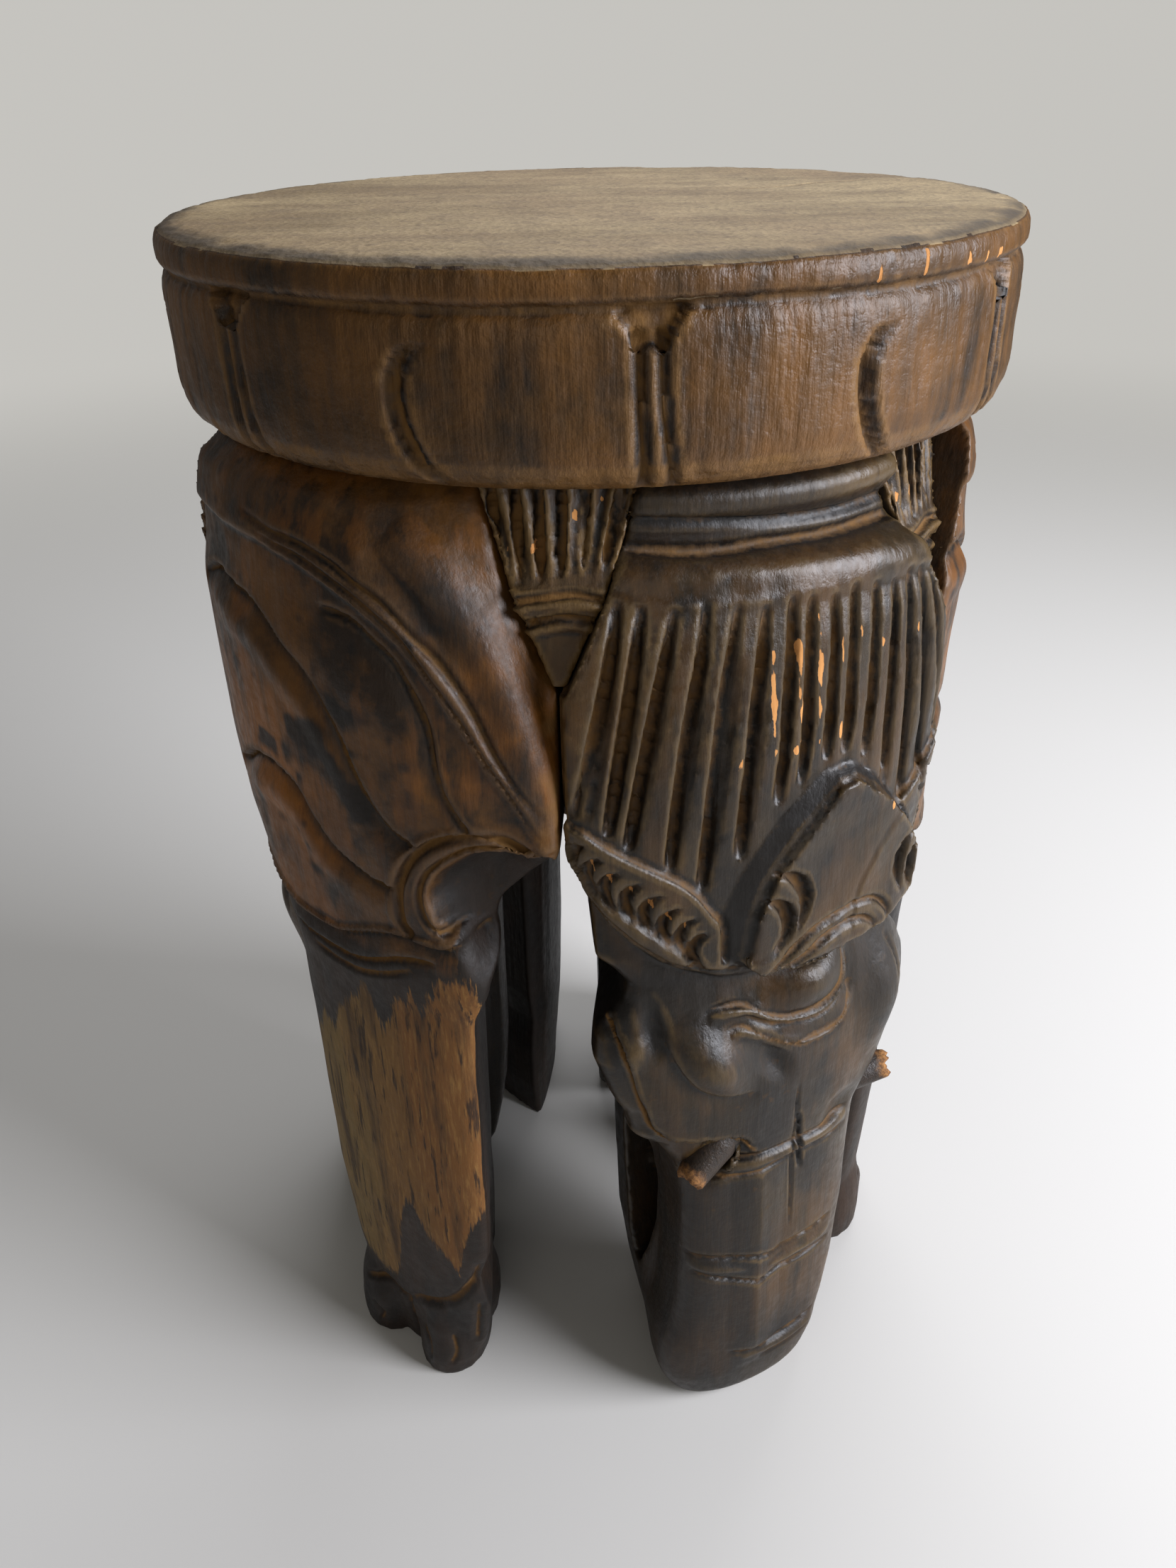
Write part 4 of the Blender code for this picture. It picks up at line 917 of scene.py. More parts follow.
@dataclass
class LegBlock:
    """A leg: haunch with leaf lines and a scroll, a cuff, a worn shin and a foot with three lobes."""

    name: str
    turn: float
    seed: int
    voxel: float = 1.2
    worn: float = 1.0
    inner_turn: float = 5.5
    inner_shift: float = 9.2
    scoop_depth: float = 19.0
    fascia_depth: float = 2.2

    RIB: tuple = (
        (-15, 375), (-10, 372.5), (-5, 371.3), (-2, 370), (2, 367), (5, 363), (9, 357.5), (12.5, 349.4),
        (16, 341), (19, 330), (22, 315), (25, 302), (27.5, 293.7),
    )
    RIB_LOW: tuple = (
        (-12, 370), (-5, 367.5), (0, 364), (5, 359), (8, 354), (11, 348), (15, 336), (18, 325), (21, 312),
        (24, 300), (26, 291), (27.5, 283),
    )
    CREST: tuple = (
        (9, 377), (13, 369), (16.5, 359), (20, 348), (22.8, 336), (25, 322), (26.8, 309), (28, 296),
    )
    VALLEY: tuple = ((6, 370), (11, 360), (15.5, 349), (19, 337), (22, 322), (24.8, 308), (27, 298))
    LEAF_TOP: tuple = (
        (-1, 352), (4, 350), (7, 345), (10, 338.7), (13, 325), (14, 317.5), (14.7, 305), (15.5, 297.5),
        (17.5, 288.7), (19.3, 284),
    )
    LEAF_MIDDLE: tuple = (
        (-35, 340), (-32, 343.7), (-28.4, 346.9), (-25, 347.7), (-21.4, 346.9), (-18.3, 346), (-14.8, 345),
        (-12.3, 342), (-9.7, 337.5), (-6.7, 332.5), (-4.7, 328.7), (-2.7, 323), (-0.7, 316), (0.9, 308.7),
        (2.4, 298.7), (3.9, 291), (5.9, 284), (7.9, 279.4), (11.7, 275.6),
    )
    LEAF_LOW: tuple = (
        (-35, 267), (-30, 272), (-26.4, 277.5), (-24.9, 280), (-21.9, 283.7), (-18.3, 285.6), (-14.8, 286),
        (-11.8, 284.4), (-9.7, 281.9), (-7.7, 276), (-5.7, 270), (-3.2, 264.4), (0.4, 260.6), (3.4, 258),
        (7.2, 257.7),
    )
    HEM: tuple = (
        (-37, 242), (-30, 238), (-27.4, 236), (-23.4, 232.5), (-19.8, 229.4), (-14.8, 227.5), (-9.7, 227.5),
        (-4.7, 228.7), (-0.7, 232.5), (2.9, 236), (5.4, 237.5), (7.9, 237.7), (10.5, 236.9), (13, 236.5),
        (15, 237.7), (17.5, 240),
    )
    CUFF: tuple = (
        (-22, 216.5), (-16, 217), (-10.7, 218), (-4.7, 218.5), (-0.7, 220.6), (2.4, 223.7), (5.4, 226.9),
        (8.4, 228.7), (12, 229.5),
    )
    CUFF_LOW: tuple = ((-14, 214), (-5, 213.5), (0, 216), (4, 220), (8, 225))
    SCROLL: tuple = (
        (9, 240), (7.4, 245), (7.2, 252.5), (7.7, 260), (9, 267.5), (10.5, 273), (13, 278.7), (15.5, 282.5),
        (18, 284.4), (20.6, 285), (23.1, 283.7), (25.6, 280), (28.6, 275.6),
    )
    SCROLL_IN: tuple = (
        (15.5, 245), (13.5, 244), (11.7, 246), (10.7, 251), (10.5, 257.5), (11.2, 263.7), (12.5, 268.7),
        (15, 274.4), (17.5, 278.7), (20, 281), (23.1, 280.6), (25.6, 278),
    )
    WORN_TOP: tuple = (
        (-26, 150), (-17, 168), (-15, 178), (-12, 172), (-10, 185), (-7, 192), (-4, 200), (-2, 207),
        (0, 190), (2, 195), (4, 208), (6, 205), (7, 215), (8, 200), (10, 212), (12, 222), (15, 224),
        (18, 226), (26, 216),
    )
    WORN_FOOT: tuple = (
        (-26, 70), (-15, 44), (-10, 42), (-6, 45), (-4, 60), (-2, 85), (0, 103), (2, 100), (4, 85), (6, 82),
        (9, 68), (11, 90), (13, 100), (15, 110), (18, 100), (26, 90),
    )
    SCOOP: tuple = (
        (12.2, 249), (11.2, 257.5), (11.9, 263.7), (13.2, 268.7), (15.6, 274), (18, 277.9), (20.5, 279.9),
        (23.1, 279.4), (27, 277), (34, 270), (34, 215), (19, 215), (17, 232), (15.5, 243), (14, 244),
    )
    INSTEP: tuple = ((-3, 33), (-1, 37), (2, 40), (5, 44), (8, 51), (10, 58), (12, 66), (13, 76))
    RIGHT_EDGE: tuple = (
        (0, -3.0), (20, -1.6), (45, -1.6), (64, -3.6), (80, -1.8), (215, -1.6), (228, -3.0), (240, -6.5),
        (250, -7.0), (262, -4.0), (272, -1.0), (280, 0.0),
    )

    def fit(self, skin: Skin) -> None:
        """Draw the shank's inner part round behind its face, narrow its right edge, and sink the scoop
        inside the scroll straight towards the axis.

        Args:
            skin: the block's skin.
        """
        azimuth, height, radius = skin.azimuth, skin.height, skin.radius
        low = 1 - soft_step(height, 238, 268)
        inner = np.clip((139 - radius) / 71, 0, 1)
        heights, turns = np.array(self.RIGHT_EDGE).T
        blend = soft_step(height, 195, 235)
        share = (1 - blend) * np.clip((azimuth + 18) / 34, 0, 1.1) + blend * soft_step(azimuth, 5, 26)
        turned = np.interp(height, heights, turns) * share - self.inner_turn * inner * low
        skin.slide(turned, self.inner_shift * inner * low)
        rim = self.to_scoop(skin)
        bowl = (1 - np.exp(-rim / 6)) * skin.inside(self.SCOOP) * soft_step(skin.height, 218, 238)
        bowl *= np.clip((skin.radius - 98) / 44, 0, 1)
        skin.slide(np.zeros(len(rim)), -self.scoop_depth * bowl)
        fold = soft_step(skin.azimuth, 11, 15) * soft_step(rim, 1.0, 4.0)
        fold *= np.exp(-(((skin.height - 240) / 28) ** 2))
        skin.relax(26, fold * soft_step(skin.radius, 84, 92))

    def to_scoop(self, skin: Skin) -> Points:
        """The distance of each point from the scoop's upper rim, in millimetres."""
        return distance_to(smooth_path(self.SCOOP[:9]), skin.flat)[0]

    def lines(self) -> list[Line]:
        """The rib, leaves, hem, cuff and scroll as lines in the block's own azimuths."""
        return [
            Line(self.RIB, 2.0, 1.7, dust=0.55, shade=0.6),
            Line(self.RIB_LOW, 1.8, 1.7, dust=0.5, shade=0.6),
            step_line(self.LEAF_TOP, 1.8, 9.0, 0.5, taper=0.2),
            step_line(self.LEAF_MIDDLE, 2.8, 11.0, 0.6),
            step_line(self.LEAF_LOW, 2.8, 11.0, 0.6),
            step_line(self.HEM, 3.0, 13.0, 0.75),
            step_line(self.CUFF, 1.8, 8.0, 0.7),
            *[
                Line(path, depth, 1.9, dust=dust, taper=0.06, shade=0.7)
                for path, depth, dust in (
                    (self.LEAF_TOP, 3.0, 0.6), (self.LEAF_MIDDLE, 4.2, 0.8),
                    (self.LEAF_LOW, 4.2, 0.8), (self.HEM, 4.4, 0.95), (self.CUFF, 3.0, 0.9),
                )
            ],
            Line(self.CUFF_LOW, 1.6, 1.8, dust=0.6),
            Line(self.SCROLL, 3.2, 2.2, dust=0.9, taper=0.05),
            Line(self.SCROLL_IN, 2.4, 1.9, dust=0.85, taper=0.05),
        ]

    def shape(self, skin: Skin) -> None:
        """Model the forms between the lines: the shoulder's crest and its hollow, the fascia under the
        rib, the leaves' swelling and the cords of the hem and scroll.

        Args:
            skin: the block's skin.
        """
        skin.cut([
            Line(self.CREST, -2.7, 9.5, Edge.ROUND, 0.0, 0.25, shade=0.0),
            Line(self.VALLEY, 2.2, 7.0, Edge.ROUND, 0.0, 0.3, shade=0.2),
        ])
        crest = soft_step(skin.azimuth, 13, 18) * soft_step(skin.height, 282, 296)
        skin.relax(36, crest * (1 - soft_step(skin.height, 384, 389)))
        below = np.interp(skin.azimuth, *np.array(self.RIB_LOW).T) - skin.height
        fascia = soft_step(below, 1, 4) * (1 - soft_step(below, 12, 34))
        fascia *= soft_step(skin.height, 262, 285)
        skin.push(-self.fascia_depth * fascia * skin.outer())
        skin.update()
        cord = tuple((a, z + 2.2) for a, z in self.HEM)
        bead = tuple((a - 1.6, z + 0.4) for a, z in self.SCROLL)
        leaf_middle = tuple((a, z - 12) for a, z in self.LEAF_MIDDLE[2:-3])
        leaf_low = tuple((a, z - 11) for a, z in self.LEAF_LOW[2:-2])
        skin.cut([
            Line(leaf_middle, -1.4, 9.0, Edge.ROUND, 0.0, 0.2, shade=0.0),
            Line(leaf_low, -1.4, 9.0, Edge.ROUND, 0.0, 0.2, shade=0.0),
            Line(cord, -1.3, 2.4, Edge.ROUND, 0.0, 0.05, shade=0.0),
            Line(bead, -0.9, 2.2, Edge.ROUND, 0.0, 0.1, shade=0.0),
        ])

    def foot(self, skin: Skin) -> None:
        """Cut the creases between and across the foot's lobes, and swell the two that show.

        Args:
            skin: the block's skin.
        """
        skin.cut([
            Line(self.INSTEP, 2.8, 3.4, dust=0.55),
            Line(((-15, 28), (-10, 33), (-5, 31), (-3, 33)), 2.4, 2.6, dust=0.5),
            Line(((-4.5, 30), (-4, 15), (-3, 3)), 3.4, 2.6, dust=0.65, taper=0.02),
            Line(((12, 50), (11, 36), (10, 20)), 2.2, 2.4, dust=0.5),
            Line(((0, 24), (2, 17), (2, 8)), 1.4, 1.7, dust=0.5),
            Line(((6, 26), (7, 17), (6, 8)), 1.4, 1.7, dust=0.5),
            Line(((-12, 20), (-10, 14), (-11, 6)), 1.3, 1.7, dust=0.5),
        ])
        skin.dome((3.5, 30), (13, 12), 2.2)
        skin.dome((-10, 20), (10, 11), 1.6)

    def wear(self, skin: Skin) -> None:
        """Lay the worn shin, the black smudges, the dust of the low places, and painted shade inside the
        scoop and on the walls hidden between the blocks.

        Args:
            skin: the block's skin.
        """
        azimuth, height = skin.azimuth, skin.height
        top = np.interp(azimuth, *np.array(self.WORN_TOP).T)
        foot = np.interp(azimuth, *np.array(self.WORN_FOOT).T)
        band = soft_step(top - height, -16, 16) * soft_step(height - foot, -14, 14)
        side = 1 - soft_step(np.abs(azimuth + 2), 17, 21)
        skin.paint(Mark.WORN, self.worn * band * side * skin.outer(0.1, 0.5))
        smudge = noise(skin.points, 11, self.seed + 2) + 0.6 * noise(skin.points, 4.5, self.seed + 3)
        leaf = np.exp(-(((azimuth + 3) / 11) ** 2)) * np.exp(-(((height - 300) / 24) ** 2))
        skin.paint(Mark.SOOT, 0.85 * soft_step(smudge + 1.3 * leaf, 0.45, 1.35) * (height > 232))
        crest = distance_to(smooth_path(self.CREST), skin.flat)[0]
        skin.paint(Mark.SOOT, (0.5 + 0.2 * smudge) * np.exp(-((crest / 10) ** 2)))
        # Painted shade inside the scoop and in the recess below it on the right.
        hollow = np.maximum(skin.inside(self.SCOOP), (azimuth > 15) * (height < 270))
        skin.paint(Mark.SOOT, soft_step(self.to_scoop(skin), 0, 5) * hollow)
        skin.paint(Mark.SOOT, 0.9 * (1 - soft_step(height, 222, 234)))
        # Painted shade on the walls that face the axis, hidden between the blocks; fainter above 300 mm.
        wall = 1 - soft_step(skin.facing, -0.1, 0.4)
        skin.paint(Mark.SOOT, (0.95 - 0.55 * soft_step(height, 290, 310)) * wall)
        seam = soft_step(azimuth, 26.0, 29.5) * soft_step(height, 276, 288)
        seam *= 1 - soft_step(height, 325, 348)
        skin.paint(Mark.DUST, seam * (0.45 + 0.45 * noise(skin.points, 5, self.seed + 5)))
        skin.marks[Mark.SOOT] *= 1 - 0.8 * np.maximum(seam, 0.6 * skin.marks[Mark.DUST])
        cap = np.exp(-(((height - 383) / 8) ** 2)) * (1 - soft_step(azimuth, 0, 12))
        skin.paint(Mark.CREST, 0.3 * cap * skin.outer())
        skin.weather()

    def build(self, finish: bpy.types.Material) -> None:
        """Carve the block and put it in the scene.

        Args:
            finish: its stain.
        """
        skin = solid_skin(self.name, self.voxel, self.turn)
        joint = np.maximum(soft_step(skin.facing, 0.3, 0.8), 1 - soft_step(skin.height, 240, 262))
        skin.calm(12)
        skin.relax(8, soft_step(skin.radius, 96, 104) * soft_step(skin.height, 2, 8) * joint)
        self.fit(skin)
        self.shape(skin)
        chatter = 0.15 * noise(skin.points * (1, 1, 0.35), 6, self.seed)
        chatter += 0.4 * noise(skin.points, 18, self.seed)
        skin.push(chatter * skin.outer() * soft_step(skin.height, 2, 8))
        skin.update()
        skin.cut(self.lines())
        self.foot(skin)
        skin.points[:, 2] = np.clip(skin.points[:, 2], 0, BLOCK_TOP)
        self.wear(skin)
        obj = skin.make("carved_" + self.name, skin.facing < HIDDEN)
        finish_piece(obj, "haunch_stain", [finish], self.name)


@dataclass
class ElephantBlock:
    """An elephant's head: neck roll, fluted bell cap, scalloped hem, shield, brows and trunk."""

    name: str
    turn: float
    seed: int
    voxel: float = 1.2
    field_top: float = 356.0
    field_lean: float = 0.12
    field_depth: float = 0.8
    band_rise: float = 1.6
    shield_rise: float = 3.0
    limb_turn: float = 3.2
    clear_of_shield: float = -22.0

    FLUTE_TOPS: tuple = (
        -23.4, -20.4, -16.3, -12.3, -8.0, -4.3, -0.4, 2.6, 6.0, 9.7, 13.7, 17.3, 20.8, 23.4, 26.0,
    )
    FLUTE_FEET: tuple = (
        (-29.4, 292.5), (-25.1, 286), (-22.6, 280.6), (-17.3, 272), (-13, 262.5), (-7.9, 273), (-2.7, 290),
        (0.6, 295), (4.4, 301), (7.4, 301), (11.2, 297), (15.5, 288), (20, 275), (24.6, 275), (29, 285),
    )
    BAND_TOP: tuple = (
        (-30.4, 291), (-27.9, 288.7), (-25.9, 285), (-22.9, 280), (-19.3, 274.4), (-15.8, 268.7),
        (-13.3, 262.5), (-11.3, 255), (-10, 250), (-9.7, 238.7), (-9.5, 233.7),
    )
    BAND_FOOT: tuple = (
        (-32.2, 286), (-31.7, 275), (-30.2, 266), (-27.9, 260), (-24.4, 251), (-20.8, 242.5), (-17.8, 236),
        (-14.3, 232.5), (-10.8, 230), (-7, 228),
    )
    SCALLOP_TIPS: tuple = (
        (-27.6, 284), (-25.5, 279.5), (-23.2, 274.5), (-20.6, 270), (-18.2, 265), (-15.8, 259.5),
        (-13.5, 254.5), (-11.8, 248),
    )
    SCALLOP: tuple = ((0, 0), (-1.9, -2.5), (-2.6, -7.5), (-1.9, -13), (-0.4, -18))
    SHIELD: tuple = (
        (-7.8, 236), (-6.9, 252), (-5.6, 263), (-3.9, 270), (-0.6, 280.5), (3.2, 289), (6, 294.5),
        (8.4, 294.5), (12, 288), (15.5, 279), (19.5, 267), (22, 256), (22, 238), (16, 231), (4, 227),
        (-5, 227.5),
    )
    SHIELD_FOOT: tuple = (
        (-9.9, 236), (-10, 254), (-8, 266), (-5.4, 276), (-2.1, 285), (1.2, 292), (4.7, 297), (9, 297),
        (13, 289.5), (16.5, 280), (20.5, 268), (23, 256), (23, 238), (16, 230), (4, 226), (-5, 226.5),
    )
    LIP_ONE: tuple = (
        (-4.7, 227), (-2.7, 231), (-0.6, 235.6), (2.4, 240.6), (5.4, 243), (9.5, 244.4), (12.5, 243.7),
        (14.5, 240.6), (15.8, 236), (16, 231.9),
    )
    LIP_TWO: tuple = (
        (-3.7, 227.5), (0.4, 231), (3.9, 235.6), (6.9, 237.7), (10.5, 237.7), (12.5, 235), (13.7, 231),
    )
    PETALS: tuple = (
        ((-4.2, 267.5), (-1.6, 265.6), (0.5, 260), (1, 252.5), (-0.1, 243)),
        ((-5.7, 258.7), (-3.2, 256), (-1.7, 251), (-1.5, 244), (-3.5, 236)),
        ((20.6, 263), (18.3, 258.7), (17.4, 252.5), (17.8, 246), (18.5, 241)),
        ((22.6, 257.5), (20.6, 253.7), (20.2, 247.5), (20.6, 238.7)),
    )
    WRINKLES: tuple = (
        (
            (-11.8, 210), (-9.7, 211), (-7.2, 211), (-5.2, 210), (-2.7, 206), (-0.1, 202.5), (2.9, 200.6),
            (6.4, 200), (9, 202), (11, 206), (12.2, 212.5), (12.7, 218.7), (13, 222),
        ),
        (
            (-6, 206), (-3.7, 203), (-0.6, 199), (2.9, 197), (6.9, 195.6), (10, 197.5), (12, 202.5),
            (13.2, 208.7), (13.4, 217),
        ),
        (
            (-8.5, 202), (-5.7, 202), (-3.2, 197.5), (-0.6, 193), (2.4, 189.4), (5.9, 188.7), (9.5, 188.7),
            (12, 191), (13.5, 196), (14, 202.5),
        ),
        ((-3.7, 196), (0.4, 190), (4.4, 186), (8.4, 185.6), (11.5, 187), (13.7, 192.5)),
    )
    NECK_HIGH: tuple = ((-25, 380), (-13, 377.5), (-2, 375), (7.5, 373.6), (15.7, 373), (25, 373))
    NECK_LOW: tuple = ((-25, 371.5), (-10.6, 369), (-1.3, 368.8), (8.5, 367.8), (17.3, 367.6), (27, 366.5))
    NECK_ROLL: tuple = ((-26, 386), (-13, 384.5), (-2, 383.5), (8, 383), (16, 383), (28, 383))
    SHOULDER_ROLL: tuple = ((-26, 367), (-13.5, 364.5), (1.5, 361.3), (14.8, 359.4), (28, 355))
    BROW_STEP: tuple = ((-17.5, 201), (-16, 191), (-13, 180), (-8, 173), (-3, 171))
    TRUNK_RIDGE: tuple = ((-1.5, 138), (-1.5, 110), (-1.3, 60), (-1.0, 18))
    CHEEK: tuple = (
        (-26.9, 218.7), (-25.9, 211), (-23.9, 200), (-22.4, 188.7), (-21.4, 177.5), (-20.3, 168.7),
        (-19.3, 161), (-16.8, 155), (-13.3, 152.5), (-7.7, 150.6), (-4.7, 147.5), (-3.2, 142.5),
        (-2.4, 140),
    )
    RINGS: tuple = (
        (((-15.5, 137), (-6, 137), (-2, 137.5), (4.5, 137.5), (10, 136.5), (17, 137)), 1.3),
        (((-16.5, 131), (-8, 130), (-1, 130), (5, 130.5), (17, 128)), 0.9),
        (((-14, 90), (-5.7, 87), (-0.6, 83.7), (0.4, 82.5), (7, 82.5), (14.5, 82.5)), 1.3),
        (((-12.5, 80.5), (-7.7, 76), (-3.7, 72.5), (-1.1, 70), (1.9, 71), (7, 70), (14.5, 69.4)), 1.6),
        (((-6, 30), (-1, 27.5), (5, 28), (12.5, 29)), 1.1), (((0, 20), (5, 19.5), (12, 19.5)), 0.9),
    )
    CHIPS: tuple = (
        (-3.6, 327, 0.42, 17), (0.1, 333, 0.42, 15), (0.5, 316, 0.35, 9), (3.3, 335, 0.38, 13),
        (3.1, 321, 0.3, 6), (6.9, 336, 0.3, 7), (10.3, 339, 0.25, 6), (-8.3, 307, 0.8, 5),
        (6.6, 309, 0.4, 3), (3.2, 308, 0.4, 2), (-0.4, 307, 0.4, 2), (15, 277.5, 0.6, 2),
        (14.2, 333, 0.3, 2), (22, 333, 0.3, 3),
    )
    RIDGES: tuple = (
        (
            (-11, 207.5), (-7.5, 208.5), (-4, 207), (-1.5, 202.5), (1.8, 199.3), (5, 198), (8.2, 198.5),
            (11, 203), (12.4, 210), (13, 219),
        ),
        (
            (-8, 199.5), (-5, 199.5), (-1.5, 193.5), (2, 189), (5.5, 187.3), (9.5, 187.3), (12.6, 191.5),
            (13.9, 200),
        ),
    )
    OVERHANG: tuple = ((-19.5, 161), (-16.8, 154.5), (-13.3, 152), (-7.7, 150.5), (-4.7, 147.5), (-3, 142))
    RING_BANDS: tuple = (
        ((-15, 134), (0, 133.8), (17, 133)), ((-13, 85), (-5, 80.5), (0, 76.5), (7, 76), (14.5, 76)),
        ((-4, 25), (5, 24), (12.5, 24)),
    )
    BUMPS: tuple = (
        ((-10.8, 190), (15, 26), 6.5, -38), ((-1.0, 184), (8, 18), -3.5, -35), ((6, 211), (24, 15), 6.0, 0),
        ((4, 224), (34, 8), -2.5, 0), ((13.4, 206), (7, 24), -1.5, 0), ((22, 188), (19, 34), 5.0, 6),
        ((-19, 206), (7, 16), -3.0, -10), ((-8, 140), (17, 13), -5.0, 0), ((14, 141), (12, 12), -2.5, 0),
        ((-22, 196), (8, 10), 2.0, 0),
    )
    LEFT_EDGE: tuple = (
        (0, -4.5), (20, -3.5), (45, -1.5), (80, 0.0), (150, 0.0), (158, 1.5), (166, 1.8), (176, 0.5),
        (190, -1.0), (200, -0.5), (208, 1.5), (215, 3.5), (222, 4.2), (228, 2.0), (232, 0.0),
    )
    RIGHT_EDGE: tuple = (
        (0, 2.4), (10, 1.8), (25, 0.3), (150, 1.2), (160, 2.0), (172, 2.4), (185, 2.0), (195, 1.0),
        (205, -0.8), (212, -3.0), (220, -4.5), (228, -3.0), (232, 0.0),
    )

    def fit(self, skin: Skin) -> None:
        """Draw the neck in under the hem, swell the cheeks, and narrow the trunk's outer limb on the
        side of its hole, by turning its edges about the stool's axis.

        Args:
            skin: the block's skin.
        """
        azimuth, height = skin.azimuth, skin.height
        left = np.interp(height, *np.array(self.LEFT_EDGE).T) * np.clip((-azimuth - 4) / 22, 0, 1.1)
        right = np.interp(height, *np.array(self.RIGHT_EDGE).T) * np.clip((azimuth - 4) / 22, 0, 1.1)
        limb = soft_step(skin.radius, 100, 112) * soft_step(height, 20, 60)
        limb *= 1 - soft_step(height, 146, 156)
        limb *= self.limb_turn * np.clip((-azimuth - 2) / 16, 0, 1)
        skin.slide(left + right + limb, np.zeros(len(azimuth)))

    def cap_lines(self) -> list[Line]:
        """The flutes, the hem band's lines and the neck grooves."""
        made = []
        for i, (top, (foot, low)) in enumerate(zip(self.FLUTE_TOPS, self.FLUTE_FEET)):
            sway = 0.25 * math.sin(i * 2.4 + self.seed)
            path = (
                (top, self.field_top - self.field_lean * top - i % 3),
                (top * 0.75 + foot * 0.25 + sway, 340),
                (top * 0.35 + foot * 0.65, 312),
                (foot, low),
            )
            made.append(Line(path, 3.4, 2.2, dust=0.5, taper=0.16, shade=0.55))
        hem = [
            Line(self.BAND_TOP, 1.8, 1.7, dust=0.4, taper=0.02),
            Line(self.BAND_FOOT, 1.6, 1.7, dust=0.6, taper=0.02),
        ]
        far = [replace(hem[0], path=self.BAND_TOP[:5]), replace(hem[1], path=self.BAND_FOOT[:5])]
        made += hem + [line.shifted(0, mirror=True) for line in far]
        made.append(Line(self.NECK_HIGH, 2.4, 2.4, dust=0.1, shade=0.9))
        made.append(Line(self.NECK_LOW, 2.6, 2.2, dust=0.5, shade=0.8))
        return made

    def scallops(self) -> list[Line]:
        """The crescent gouges of the hem band, and on the far side those that clear the shield."""
        made = []
        for a, z in self.SCALLOP_TIPS:
            path = tuple((a + across, z + up) for across, up in self.SCALLOP)
            gouge = Line(path, 3.8, 2.5, Edge.ROUND, 0.5, 0.35, shade=0.6)
            made += [gouge, gouge.shifted(0, mirror=True)] if a < self.clear_of_shield else [gouge]
        return made

    def cap(self, skin: Skin) -> None:
        """Raise the neck rolls, hem band and shield, then cut the flutes, scallops and lip lines.

        Args:
            skin: the block's skin.
        """
        skin.cut([
            Line(self.NECK_ROLL, -3.2, 8.0, Edge.ROUND, 0.0, 0.0, shade=0.0),
            Line(self.SHOULDER_ROLL, -2.4, 7.0, Edge.ROUND, 0.0, 0.0, shade=0.0),
        ])
        azimuth, height = skin.azimuth, skin.height
        side = -np.abs(azimuth)
        top = np.interp(side, *np.array(self.BAND_TOP).T)
        low = np.interp(side, *np.array(self.BAND_FOOT).T)
        band = soft_step(top - height, -1.2, 0.8) * soft_step(height - low, -1.5, 0.8)
        band *= soft_step(np.abs(azimuth), 8, 10)
        band *= 1 - skin.inside(self.SHIELD_FOOT)
        field = soft_step(self.field_top - self.field_lean * azimuth - height, 0, 4)
        field *= soft_step(height - top, 0, 3)
        skin.push((self.band_rise * band - self.field_depth * field) * skin.outer())
        skin.update()
        skin.plate(self.SHIELD, self.shield_rise, self.SHIELD_FOOT)
        skin.cut(self.cap_lines())
        skin.cut(self.scallops())
        skin.cut([
            Line(self.LIP_ONE, 2.4, 1.9, dust=0.5),
            Line(self.LIP_TWO, 2.4, 1.9, dust=0.5),
            *[Line(path, 4.0, 2.9, Edge.ROUND, 0.5, 0.4, shade=0.7) for path in self.PETALS],
        ])

    def face(self, skin: Skin) -> None:
        """Model the brows, the eye hollow, the cheeks and the trunk's facets and rings.

        Args:
            skin: the block's skin.
        """
        for centre, size, rise, lean in self.BUMPS:
            skin.dome(centre, size, rise, lean)
        skin.cut([
            Line(self.TRUNK_RIDGE, -2.2, 12.0, dust=0.0, shade=0.0),
            *[Line(path, -1.8, 3.6, Edge.ROUND, 0.0, 0.14, shade=0.0) for path in self.RIDGES],
            *[Line(path, -1.5, 4.0, Edge.ROUND, 0.0, 0.1, shade=0.0) for path in self.RING_BANDS],
            step_line(self.OVERHANG, 4.0, 11.0, 0.4, taper=0.3),
            step_line(self.CHEEK[:8], 3.0, 8.0, 0.5),
            step_line(self.BROW_STEP, 2.0, 10.0, 0.1, taper=0.3),
        ])
        skin.cut([
            *[Line(path, 1.5, 1.9, dust=0.55) for path in self.WRINKLES],
            Line(self.CHEEK, -1.5, 1.9, dust=0.95, taper=0.04, shade=0.2),
            Line(((4, 168), (4.2, 150), (4.4, 120), (4.6, 92)), 1.2, 0.9, dust=0.1),
            Line(((4.7, 152), (5.2, 142), (5.9, 128), (6.2, 121)), 2.6, 1.2, dust=0.0, shade=1.0),
            Line(((23, 212), (24.5, 200), (24.8, 182)), 1.6, 1.8, dust=0.1),
            *[Line(path, depth * 1.3, 1.5, dust=0.4) for path, depth in self.RINGS],
        ])

